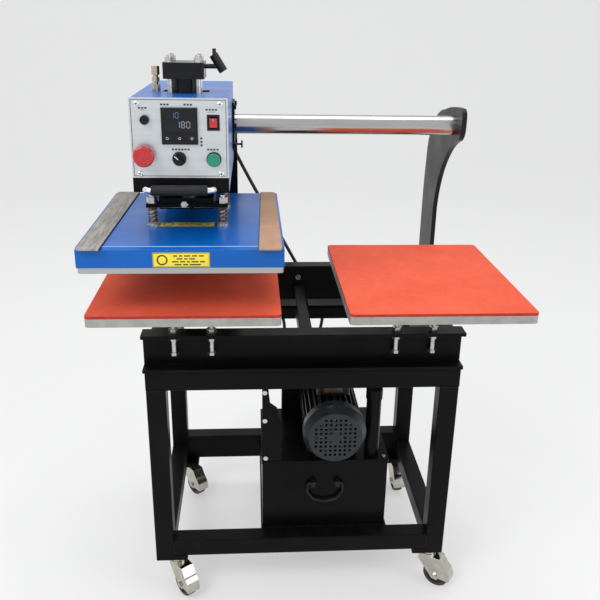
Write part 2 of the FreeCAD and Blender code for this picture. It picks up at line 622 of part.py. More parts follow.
def make_controls():
    mushroom = rod(21.3, 11, on_panel(STOP_AT, PANEL_FACE - 24), BACK)
    edges = [e for e in mushroom.Edges if abs(e.CenterOfMass.y - (PANEL_FACE - 24)) < 0.01]
    mushroom = mushroom.makeFillet(5.0, edges)
    mushroom = mushroom.fuse(rod(6.0, 38, on_panel(STOP_AT, PANEL_FACE - 14), BACK))
    save("stop_button", mushroom)

    knob = rod(12.5, 8, on_panel(SELECTOR_AT, PANEL_FACE - 12), BACK)
    x, y, z = on_panel(SELECTOR_AT, PANEL_FACE - 12)
    wing = box(x - 4, x + 4, y - 8, y, z - 12, z + 12)
    wing.rotate(V(x, y, z), BACK, -45)
    knob = knob.fuse(wing).fuse(rod(6.0, 30, (x, y + 4, z), BACK))
    save("mode_selector", knob)

    cap = rod(13.4, 4, on_panel(START_AT, PANEL_FACE - 11), BACK)
    rim = [e for e in cap.Edges if abs(e.CenterOfMass.y - (PANEL_FACE - 11)) < 0.01]
    cap = cap.makeFillet(1.2, rim).fuse(rod(10.6, 5, on_panel(START_AT, PANEL_FACE - 8), BACK))
    save("start_button", cap.fuse(rod(5.9, 24, on_panel(START_AT, PANEL_FACE - 5), BACK)))

    x, y, z = on_panel(ROCKER_AT)
    half = ROCKER_H / 2
    profile = Part.makePolygon([V(0, -6.0, half - 1.2), V(0, -2.4, 0.0), V(0, -4.0, 1.2 - half),
                                V(0, 5.0, 1.8 - half), V(0, 5.0, half - 1.8),
                                V(0, -6.0, half - 1.2)])
    rocker = extruded([profile], V(ROCKER_W, 0, 0))
    rocker.translate(V(x - ROCKER_W / 2, y, z))
    rocker = rocker.fuse(rod(ROCKER_PIN_R, 18.0, (x - 9.0, y + 2.5, z), RIGHT))
    save("power_rocker", rocker)


def make_cylinder():
    barrel = ring(29.5, 20.0, 158, (HEAD_X, PRESS_Y, HEAD_FLOOR + 30))
    save("cylinder_barrel", barrel)
    low = box(HEAD_X - 42, HEAD_X + 42, PRESS_Y - 42, PRESS_Y + 42, HEAD_FLOOR, HEAD_FLOOR + 30)
    low = low.cut(rod(15.0 + FIT, 30, (HEAD_X, PRESS_Y, HEAD_FLOOR)))
    cap = box(HEAD_X - 43, HEAD_X + 43, PRESS_Y - 45, PRESS_Y + 45, HEAD_FLOOR + 188,
              HEAD_FLOOR + 221)
    cap = vertical_fillet(cap, 4.0)
    rods = []
    for dx in (-TIE_DX, TIE_DX):
        for dy in (-TIE_DY, TIE_DY):
            x, y = HEAD_X + dx, PRESS_Y + dy
            hole = rod(5.05, 260, (x, y, HEAD_FLOOR))
            low = low.cut(hole)
            cap = cap.cut(hole)
            tie = rod(5.0, 236, (x, y, HEAD_FLOOR))
            tie = tie.fuse(hexagon(14, 10, (x, y, HEAD_FLOOR + 221)))
            tie = tie.fuse(rod(7.5, 2, (x, y, HEAD_FLOOR + 221)))
            rods.append(tie)
    save("cylinder_heads", low, cap)
    save("tie_rods", *rods)


def make_fittings():
    x, y, z = HEAD_X - 65, PRESS_Y + 20, HEAD_TOP
    valve = hexagon(16, 14, (x, y, z)).fuse(rod(6.0, 38, (x, y, z)))
    valve = valve.fuse(rod(8.5, 9, (x, y, z + 20))).fuse(hexagon(15, 18, (x, y, z + 34)))
    stub = rod(5.0, 30, (HEAD_X + 43, PRESS_Y, HEAD_FLOOR + 212), RIGHT)
    foot = V(HEAD_X + 82, PRESS_Y, HEAD_FLOOR + 202)
    head = V(HEAD_X + 61, PRESS_Y, HEAD_FLOOR + 236)
    elbow = rod(9.5, (head - foot).Length, foot, head - foot)
    nipple = rod(4.0, 18, (HEAD_X + 63, PRESS_Y, HEAD_FLOOR + 230))
    save("hose_fittings", valve, elbow.fuse(stub).fuse(nipple))


def make_handle():
    ends = [(HANDLE_X + side * HANDLE_HALF, PANEL_FACE, HANDLE_Z) for side in (-1, 1)]
    corners = [(HANDLE_X + side * HANDLE_HALF, HANDLE_Y, HANDLE_Z) for side in (-1, 1)]
    bar = pipe([ends[0], corners[0], corners[1], ends[1]], 6.5, [13, 13])
    save("handle_bar", bar)
    grip_half = HANDLE_HALF - 12
    grip = ring(10.5, 6.5, 2 * grip_half, (HANDLE_X - grip_half, HANDLE_Y, HANDLE_Z), RIGHT)
    ends = [e for e in grip.Edges if e.Curve.TypeId == "Part::GeomCircle" and e.Curve.Radius > 10]
    save("handle_grip", grip.makeFillet(3.0, ends))


def make_reaction_arm():
    """Rear plate with a foot that keeps the head from turning about the round guide tube."""
    x0, x1 = HEAD_X - 100, HEAD_X + 103
    beam_back = REAR_BEAM_FRONT + REAR_BEAM_THICK
    foot_z = REAR_BEAM_TOP + 8
    arm = box(x0, x1, HEAD_BACK, HEAD_BACK + 12, foot_z, HEAD_FLOOR + 60)
    arm = arm.fuse(box(x0, x1, HEAD_BACK, beam_back + 16, foot_z, foot_z + 12))
    for y0 in (REAR_BEAM_FRONT - 16, beam_back + 8):
        arm = arm.fuse(box(x0, x1, y0, y0 + 8, REAR_BEAM_TOP - SHOE_LIP, foot_z))
    save("reaction_arm", arm)
    shoe = box(x0, x1, REAR_BEAM_FRONT - 8, beam_back + 8, REAR_BEAM_TOP - SHOE_LIP, foot_z)
    slot = box(x0, x1, REAR_BEAM_FRONT - SHOE_GAP, beam_back + SHOE_GAP, REAR_BEAM_TOP - SHOE_LIP,
               REAR_BEAM_TOP + SHOE_GAP)
    save("guide_shoe", shoe.cut(slot))


def make_lock_knob():
    x = BOX_X + HEAD_HALF
    knob = rod(2.5, 49, (x - 26, KNOB_Y, KNOB_Z), RIGHT)
    grip = rod(9.0, 4, (x + 21, KNOB_Y, KNOB_Z), RIGHT)
    for k in range(6):
        turn = math.radians(60 * k + 30)
        notch = rod(2.0, 4, (x + 21, KNOB_Y + 10 * math.cos(turn), KNOB_Z + 10 * math.sin(turn)),
                    RIGHT)
        grip = grip.cut(notch)
    save("lock_knob", knob.fuse(grip))


# ---- pressing platen ---------------------------------------------------------------------
def make_press():
    piston = rod(14.98, 190, (HEAD_X, PRESS_Y, PLATE_TOP))
    piston = piston.fuse(rod(19.9, 16, (HEAD_X, PRESS_Y, PLATE_TOP + 190)))
    save("piston_rod", piston)

    plate = vertical_fillet(box(HEAD_X - 59, HEAD_X + 59, PRESS_Y - STUD_DY - 8,
                                PRESS_Y + STUD_DY + 8, PLATE_Z, PLATE_TOP), 6.0)
    ears = box(HEAD_X + STUD_LEFT - 12, HEAD_X + STUD_RIGHT + 12, PRESS_Y - STUD_DY - 12,
               PRESS_Y + STUD_DY + 12, PLATE_Z + 4, PLATE_Z + 12)
    ears = ears.cut(box(HEAD_X - 100, HEAD_X + 100, PRESS_Y - STUD_DY + 14,
                        PRESS_Y + STUD_DY - 14, PLATE_Z, PLATE_TOP))
    plate = plate.fuse(ears)
    studs, springs = [], []
    for dx in (STUD_LEFT, STUD_RIGHT):
        for sy in (-1, 1):
            x, y = HEAD_X + dx, PRESS_Y + sy * STUD_DY
            plate = plate.cut(rod(6.2, 60, (x, y, PLATE_Z - 10)))
            stud = rod(6.0, 68, (x, y, HOUSING_TOP))
            stud = stud.fuse(rod(13.0, 3, (x, y, HOUSING_TOP)))
            stud = stud.fuse(hexagon(20, 6, (x, y, HOUSING_TOP + 3)))
            stud = stud.fuse(hexagon(20, 13, (x, y, PLATE_Z + 12)))
            studs.append(stud)
            springs.append(ring(11.0, 7.5, PLATE_Z + 4 - HOUSING_TOP - 9, (x, y, HOUSING_TOP + 9)))
    for x in (HEAD_X - 4, HEAD_X + 13):
        plate = plate.fuse(hexagon(13, 6, (x, PRESS_Y - STUD_DY - 14, PLATE_Z + 11), BACK))
    save("press_plate", plate)
    save("spring_bolts", *studs)
    save("platen_springs", *springs)


def make_heating_platen():
    x0, x1 = HEAD_X - HOUSING_HALF, HEAD_X + HOUSING_HALF
    shell = box(x0, x1, 0, HOUSING_L, HOUSING_Z, HOUSING_TOP)
    bevel = Part.makePolygon([V(x0, 0, HOUSING_TOP - 3), V(x0, 14, HOUSING_TOP),
                              V(x0, 0, HOUSING_TOP), V(x0, 0, HOUSING_TOP - 3)])
    shell = shell.cut(extruded([bevel], V(2 * HOUSING_HALF, 0, 0)))
    shell = shell.cut(box(x0 + 2, x1 - 2, 2, HOUSING_L - 2, HOUSING_Z, HOUSING_TOP - 5))
    save("platen_housing", shell)
    save("insulation_board", box(x0 + 3, x1 - 3, 3, HOUSING_L - 3, HOUSING_Z + 11, HOUSING_TOP - 5))
    heater = vertical_fillet(box(x0 + 1, x1 - 1, 1, HOUSING_L - 1, HEATER_BOTTOM, HOUSING_Z), 9.0)
    heater = heater.fuse(box(x0 + 12, x1 - 12, 12, HOUSING_L - 12, HOUSING_Z, HOUSING_Z + 11))
    save("heating_plate", heater)

    guards = []
    for outer, front, back in ((-200.0, -156.0, -147.0), (200.0, 154.0, 164.0)):
        corners = [(outer, GUARD_FRONT), (front, GUARD_FRONT), (back, HOUSING_L + 1),
                   (outer, HOUSING_L + 1), (outer, GUARD_FRONT)]
        outline = Part.makePolygon([V(HEAD_X + x, y, HOUSING_TOP) for x, y in corners])
        strip = extruded([outline], V(0, 0, 3.0))
        corner = [e for e in strip.Edges if abs(e.tangentAt(e.FirstParameter).z) > 0.99
                  and abs(e.CenterOfMass.x - HEAD_X - outer) < 0.1]
        guards.append(strip.makeFillet(8.0, corner))
    save("edge_guards", *guards)


# ---- hydraulic hoses ---------------------------------------------------------------------
PRESSURE_ROUTE = [(-215, 572, 1290), (-215, 622, 1290), (-197, 668, 1256), (-169, 702, 1190),
                  (-132, 718, 1116), (-88, 724, 1034), (-42, 728, 946), (4, 730, 862),
                  (48, 730, 786), (88, 722, 712), (84, 742, 650), (66, 740, 596),
                  (44, 716, 560), (30, 664, 540), (30, 612, 540)]
RETURN_ROUTE = [(-300, 572, 1282), (-300, 622, 1282), (-286, 670, 1244), (-260, 704, 1172),
                (-228, 720, 1092), (-188, 728, 1008), (-148, 732, 922), (-106, 734, 838),
                (-64, 734, 756), (-34, 728, 688), (-30, 742, 628), (-40, 738, 572),
                (-42, 712, 532), (-30, 664, 508), (-30, 612, 508)]


def make_hoses():
    for name, route in (("pressure_hose", PRESSURE_ROUTE), ("return_hose", RETURN_ROUTE)):
        radii = hose_radii(route)
        hose = pipe(route, HOSE_R, radii)
        print(name, "radii", [round(r) for r in radii], "length",
              round(hose.Volume / (math.pi * HOSE_R ** 2), 1), "valid", hose.isValid())
        save(name, hose)


make_legs()
make_rails()
make_machine_frame()
make_arms()
make_guide_tube()
make_frame_bolts()
make_lower_platens()
make_platen_studs()
make_tank()
make_bail()
make_motor()
make_fan_cover()
make_motor_fan()
make_unit_parts()
make_casters()
make_bearings()
make_head_box()
make_base_block()
make_panel()
make_panel_fittings()
make_controls()
make_cylinder()
make_fittings()
make_handle()
make_reaction_arm()
make_lock_knob()
make_press()
make_heating_platen()
make_hoses()
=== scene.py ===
import math

import bmesh
import bpy
from mathutils import Matrix, Vector


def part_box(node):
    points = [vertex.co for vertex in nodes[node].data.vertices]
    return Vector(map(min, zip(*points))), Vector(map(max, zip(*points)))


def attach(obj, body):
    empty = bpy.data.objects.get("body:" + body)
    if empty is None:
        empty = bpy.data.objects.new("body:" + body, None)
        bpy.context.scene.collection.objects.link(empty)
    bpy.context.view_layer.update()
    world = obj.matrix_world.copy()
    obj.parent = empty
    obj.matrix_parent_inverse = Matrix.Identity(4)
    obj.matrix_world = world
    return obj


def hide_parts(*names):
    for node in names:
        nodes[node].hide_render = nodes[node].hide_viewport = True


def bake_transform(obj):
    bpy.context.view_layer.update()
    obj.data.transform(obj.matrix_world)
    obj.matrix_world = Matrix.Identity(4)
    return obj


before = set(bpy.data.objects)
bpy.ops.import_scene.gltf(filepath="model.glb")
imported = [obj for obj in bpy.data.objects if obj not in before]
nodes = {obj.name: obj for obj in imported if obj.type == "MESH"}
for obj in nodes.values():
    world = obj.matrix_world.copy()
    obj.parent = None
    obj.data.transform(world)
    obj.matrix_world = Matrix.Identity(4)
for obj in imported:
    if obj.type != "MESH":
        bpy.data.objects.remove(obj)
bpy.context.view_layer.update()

scene = bpy.context.scene

# Sizes and places are in metres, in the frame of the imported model, and angles of the camera in radians.


# ---- camera and studio -------------------------------------------------------------------
CAMERA_PLACE = (-0.12649, -1.80605, 1.52240)
CAMERA_YAW = 0.06755
CAMERA_PITCH = 0.364276
CAMERA_ROLL = -0.0171557
LENS = 44.47
SENSOR_WIDTH = 36.0
NEAREST, FARTHEST = 0.05, 60.0

WORLD_TINT = (0.93, 0.94, 0.96, 1.0)
WORLD_STRENGTH = 0.85

PAPER_GREY = (0.42, 0.42, 0.42)
PAPER_GLOW = 0.42
PAPER_HALF_WIDTH = 14.0
PAPER_REACH = 9.0
PAPER_BEND = 3.0
PAPER_TOP = 12.0
BEND_STEPS = 16


def add_camera():
    """Looks along +Y, turned right by the yaw, down by the pitch and tilted by the roll."""
    data = bpy.data.cameras.new("camera")
    data.sensor_width = SENSOR_WIDTH
    data.lens = LENS
    data.clip_start = NEAREST
    data.clip_end = FARTHEST
    level = math.cos(CAMERA_PITCH)
    ahead = Vector((math.sin(CAMERA_YAW) * level, math.cos(CAMERA_YAW) * level, -math.sin(CAMERA_PITCH)))
    right = Vector((math.cos(CAMERA_YAW), -math.sin(CAMERA_YAW), 0.0))
    down = ahead.cross(right)
    tilted_right = math.cos(CAMERA_ROLL) * right + math.sin(CAMERA_ROLL) * down
    tilted_down = math.cos(CAMERA_ROLL) * down - math.sin(CAMERA_ROLL) * right
    turn = Matrix((tilted_right, -tilted_down, -ahead)).transposed()
    camera = bpy.data.objects.new("camera", data)
    camera.matrix_world = Matrix.Translation(CAMERA_PLACE) @ turn.to_4x4()
    scene.collection.objects.link(camera)
    scene.camera = camera


def add_light(name, place, aim, size, watts):
    data = bpy.data.lights.new(name, "AREA")
    data.shape = "RECTANGLE"
    data.size, data.size_y = size
    data.energy = watts
    lamp = bpy.data.objects.new(name, data)
    lamp.location = place
    lamp.rotation_mode = "QUATERNION"
    lamp.rotation_quaternion = (Vector(aim) - Vector(place)).to_track_quat("-Z", "Y")
    scene.collection.objects.link(lamp)


def add_lights():
    world = bpy.data.worlds.new("studio")
    world.use_nodes = True
    back = world.node_tree.nodes["Background"]
    back.inputs["Color"].default_value = WORLD_TINT
    back.inputs["Strength"].default_value = WORLD_STRENGTH
    scene.world = world
    scene.view_settings.view_transform = "Standard"
    add_light("key", (-2.2, -2.4, 3.6), (0, 0, 0.8), (1.8, 1.8), 75)
    add_light("fill", (3.0, -1.6, 2.2), (0, 0, 0.9), (1.6, 2.4), 28)
    add_light("top", (0.2, 0.6, 4.2), (0, 0, 0.8), (2.4, 2.0), 45)


def backdrop_paper():
    """Grey paper with a little light of its own, so that it stays even from side to side."""
    paper = surface("backdrop_paper", PAPER_GREY, rough=0.9, tint=0.005, scale=3, bump=0.0, specular=0.1)
    shader = paper.node_tree.nodes["Principled BSDF"]
    shader.inputs["Emission Color"].default_value = (1.0, 1.0, 1.0, 1.0)
    shader.inputs["Emission Strength"].default_value = PAPER_GLOW
    return paper


def add_backdrop():
    """A floor that bends up into a wall behind the machine."""
    paper = backdrop_paper()
    foot = PAPER_REACH - PAPER_BEND
    profile = [(-PAPER_HALF_WIDTH, 0.0), (foot, 0.0)]
    for k in range(1, BEND_STEPS + 1):
        turn = math.radians(90 * k / BEND_STEPS)
        profile.append((foot + PAPER_BEND * math.sin(turn), PAPER_BEND - PAPER_BEND * math.cos(turn)))
    profile.append((PAPER_REACH, PAPER_TOP))
    verts = [(side * PAPER_HALF_WIDTH, y, z) for y, z in profile for side in (-1, 1)]
    faces = [(2 * k, 2 * k + 1, 2 * k + 3, 2 * k + 2) for k in range(len(profile) - 1)]
    mesh = bpy.data.meshes.new("backdrop")
    mesh.from_pydata(verts, [], faces)
    for face in mesh.polygons:
        face.use_smooth = True
    backdrop = bpy.data.objects.new("backdrop", mesh)
    scene.collection.objects.link(backdrop)
    mesh.materials.append(paper)


# ---- materials ---------------------------------------------------------------------------
class Graph:
    """A small helper round a material's node tree."""

    def __init__(self, name):
        self.mat = bpy.data.materials.new(name)
        self.mat.use_nodes = True
        self.tree = self.mat.node_tree
        self.shader = self.tree.nodes["Principled BSDF"]
        self.coord = self.tree.nodes.new("ShaderNodeTexCoord").outputs["Object"]

    def node(self, kind, **values):
        """Adds a node and sets its properties, or its inputs where a name isn't a property."""
        made = self.tree.nodes.new(kind)
        for key, value in values.items():
            if hasattr(made, key):
                setattr(made, key, value)
            else:
                made.inputs[key.replace("_", " ")].default_value = value
        return made

    def link(self, out, into):
        self.tree.links.new(out, into)

    def feed(self, key, out):
        """Drives one of the shader's inputs."""
        self.link(out, self.shader.inputs[key])

    def stretched(self, scale):
        mapping = self.node("ShaderNodeMapping")
        mapping.inputs["Scale"].default_value = scale
        self.link(self.coord, mapping.inputs["Vector"])
        return mapping.outputs["Vector"]

    def noise(self, scale, detail=3.0, rough=0.55, stretch=None):
        made = self.node("ShaderNodeTexNoise", Scale=scale, Detail=detail, Roughness=rough)
        self.link(self.stretched(stretch) if stretch else self.coord, made.inputs["Vector"])
        return made.outputs["Fac"]

    def ranged(self, value, low, high, from_low=0.3, from_high=0.7):
        made = self.node("ShaderNodeMapRange")
        made.inputs["From Min"].default_value = from_low
        made.inputs["From Max"].default_value = from_high
        made.inputs["To Min"].default_value = low
        made.inputs["To Max"].default_value = high
        self.link(value, made.inputs["Value"])
        return made.outputs["Result"]

    def mixed(self, amount, first, second):
        made = self.node("ShaderNodeMix", data_type="RGBA")
        for socket, colour in ((6, first), (7, second)):
            if isinstance(colour, tuple):
                made.inputs[socket].default_value = (*colour, 1.0)
            else:
                self.link(colour, made.inputs[socket])
        self.link(amount, made.inputs[0])
        return made.outputs[2]

    def product(self, first, second):
        made = self.node("ShaderNodeMath", operation="MULTIPLY")
        self.link(first, made.inputs[0])
        self.link(second, made.inputs[1])
        return made.outputs[0]

    def part(self, vector, axis):
        """One of a vector's three numbers, X, Y or Z."""
        made = self.node("ShaderNodeSeparateXYZ")
        self.link(vector, made.inputs[0])
        return made.outputs[axis]

    def face_normal(self):
        return self.node("ShaderNodeNewGeometry").outputs["Normal"]

    def bumped(self, height, strength, distance, normal=None):
        made = self.node("ShaderNodeBump", Strength=strength, Distance=distance)
        self.link(height, made.inputs["Height"])
        if normal is not None:
            self.link(normal, made.inputs["Normal"])
        return made.outputs["Normal"]

    def edge_wear_and_highlight_amount(self, bevelled):
        """How far the rounded normal leans from the face's own, broken up into specks: the mask that
        lightens edges, partly as wear and partly as painted highlight.
        """
        dot = self.node("ShaderNodeVectorMath", operation="DOT_PRODUCT")
        self.link(bevelled, dot.inputs[0])
        self.link(self.face_normal(), dot.inputs[1])
        away = self.ranged(dot.outputs["Value"], 1.0, 0.0, 0.72, 0.98)
        speck = self.ranged(self.noise(220.0, 3.0, 0.7), 0.0, 1.0, 0.45, 0.62)
        return self.product(away, speck)

    def dust_amount(self, strength):
        """Patches on the faces that look up."""
        up = self.ranged(self.part(self.face_normal(), "Z"), 0.0, 1.0, 0.6, 1.0)
        patch = self.ranged(self.noise(9.0, 5.0, 0.65), 0.0, strength, 0.4, 0.65)
        return self.product(up, patch)


def surface(name, colour, metallic=0.0, rough=0.4, tint=0.1, scale=20.0, rough_spread=0.06,
            bump=0.15, bump_scale=900.0, coat=0.0, coat_rough=0.1, stretch=None, edge=0.0,
            edge_wear_and_highlight_colour=None, dust=None, specular=0.5):
    """Paint, metal, rubber or plastic with its own colour drift, gloss drift, grain, and edges lightened
    partly as wear and partly as painted highlight.
    """
    graph = Graph(name)
    drift = graph.noise(scale, 4.0, 0.6, stretch)
    dark = tuple(c * (1.0 - tint) for c in colour)
    light = tuple(min(1.0, c * (1.0 + tint) + 0.002) for c in colour)
    paint = graph.mixed(graph.ranged(drift, 0.0, 1.0), dark, light)
    normal = None
    if edge > 0:
        bevel = graph.node("ShaderNodeBevel", samples=4)
        bevel.inputs["Radius"].default_value = edge
        normal = bevel.outputs["Normal"]
        # Lighter edges: worn specks and a painted highlight along each edge.
        if edge_wear_and_highlight_colour:
            paint = graph.mixed(graph.edge_wear_and_highlight_amount(normal), paint, edge_wear_and_highlight_colour)
    if dust:
        paint = graph.mixed(graph.dust_amount(dust[3]), paint, dust[:3])
    graph.feed("Base Color", paint)
    gloss = graph.noise(scale * 1.7 + 3.0, 5.0, 0.6, stretch)
    graph.feed("Roughness", graph.ranged(gloss, max(0.02, rough - rough_spread), rough + rough_spread))
    shader = graph.shader
    shader.inputs["Metallic"].default_value = metallic
    shader.inputs["Specular IOR Level"].default_value = specular
    shader.inputs["Coat Weight"].default_value = coat
    shader.inputs["Coat Roughness"].default_value = coat_rough
    if bump > 0:
        normal = graph.bumped(graph.noise(bump_scale, 2.0, 0.5, stretch), bump, 0.0004, normal)
    if normal is not None:
        graph.feed("Normal", normal)
    return graph.mat


def silicone():
    """Sponge silicone: orange-red and grainy on top; its cut edges are painted darker, as shade."""
    graph = Graph("silicone")
    drift = graph.ranged(graph.noise(7.0, 5.0, 0.6), 0.0, 1.0)
    top = graph.mixed(drift, (0.64, 0.078, 0.034), (0.74, 0.108, 0.050))
    wear = graph.ranged(graph.noise(60.0, 3.0, 0.7), 0.0, 0.35, 0.45, 0.7)
    worn = graph.mixed(wear, top, (0.56, 0.066, 0.032))
    grain = graph.ranged(graph.noise(90.0), 0.0, 1.0)
    # The darker red for the sides is painted shade, chosen by how far each face looks up.
    side = graph.mixed(grain, (0.30, 0.022, 0.014), (0.42, 0.035, 0.02))
    up = graph.ranged(graph.part(graph.face_normal(), "Z"), 0.0, 1.0, 0.4, 0.8)
    graph.feed("Base Color", graph.mixed(up, side, worn))
    graph.feed("Roughness", graph.ranged(graph.noise(40.0), 0.62, 0.8))
    graph.shader.inputs["Specular IOR Level"].default_value = 0.25
    graph.feed("Normal", graph.bumped(graph.noise(1400.0, 3.0, 0.6), 0.35, 0.0004))
    return graph.mat


def guard_strips_with_painted_reflections():
    """Two old heat-resistant strips coloured partly with painted reflections of the surroundings: a streaky
    grey-brown one and a tan one.
    """
    graph = Graph("guard_strips_with_painted_reflections")
    guards_lo, guards_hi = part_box("edge_guards")
    middle = (guards_lo.x + guards_hi.x) / 2
    # The left strip's grey-brown streaks and the right strip's mottled tan are partly painted reflections
    # of the surroundings.
    painted_reflection_streak = graph.noise(16.0, 6.0, 0.7, (14.0, 1.0, 1.0))
    left = graph.mixed(graph.ranged(painted_reflection_streak, 0.0, 1.0), (0.13, 0.11, 0.095), (0.42, 0.39, 0.35))
    spots = graph.noise(30.0, 5.0, 0.65)
    right = graph.mixed(graph.ranged(spots, 0.0, 1.0), (0.34, 0.185, 0.105), (0.46, 0.275, 0.165))
    side = graph.ranged(graph.part(graph.coord, "X"), 0.0, 1.0, middle - 0.001, middle + 0.001)
    graph.feed("Base Color", graph.mixed(side, left, right))
    graph.feed("Roughness", graph.ranged(spots, 0.5, 0.75))
    weave = graph.node("ShaderNodeTexWave", Scale=420.0, Distortion=0.6)
    graph.link(graph.coord, weave.inputs["Vector"])
    graph.feed("Normal", graph.bumped(weave.outputs["Fac"], 0.3, 0.0003))
    return graph.mat


def brushed(name, colour, rough, metallic=1.0):
    """Metal with fine lines along X."""
    return surface(name, colour, metallic=metallic, rough=rough, tint=0.06, scale=90.0, rough_spread=0.05,
                   bump=0.22, bump_scale=1600.0, stretch=(0.03, 1.0, 1.0), edge=0.0006)


def glow(name, colour, strength):
    """A lit display segment with slightly uneven light."""
    graph = Graph(name)
    dim = tuple(c * 0.85 for c in colour)
    tone = graph.mixed(graph.ranged(graph.noise(300.0), 0.0, 1.0), dim, colour)
    graph.feed("Base Color", tone)
    graph.feed("Emission Color", tone)
    graph.shader.inputs["Emission Strength"].default_value = strength
    return graph.mat


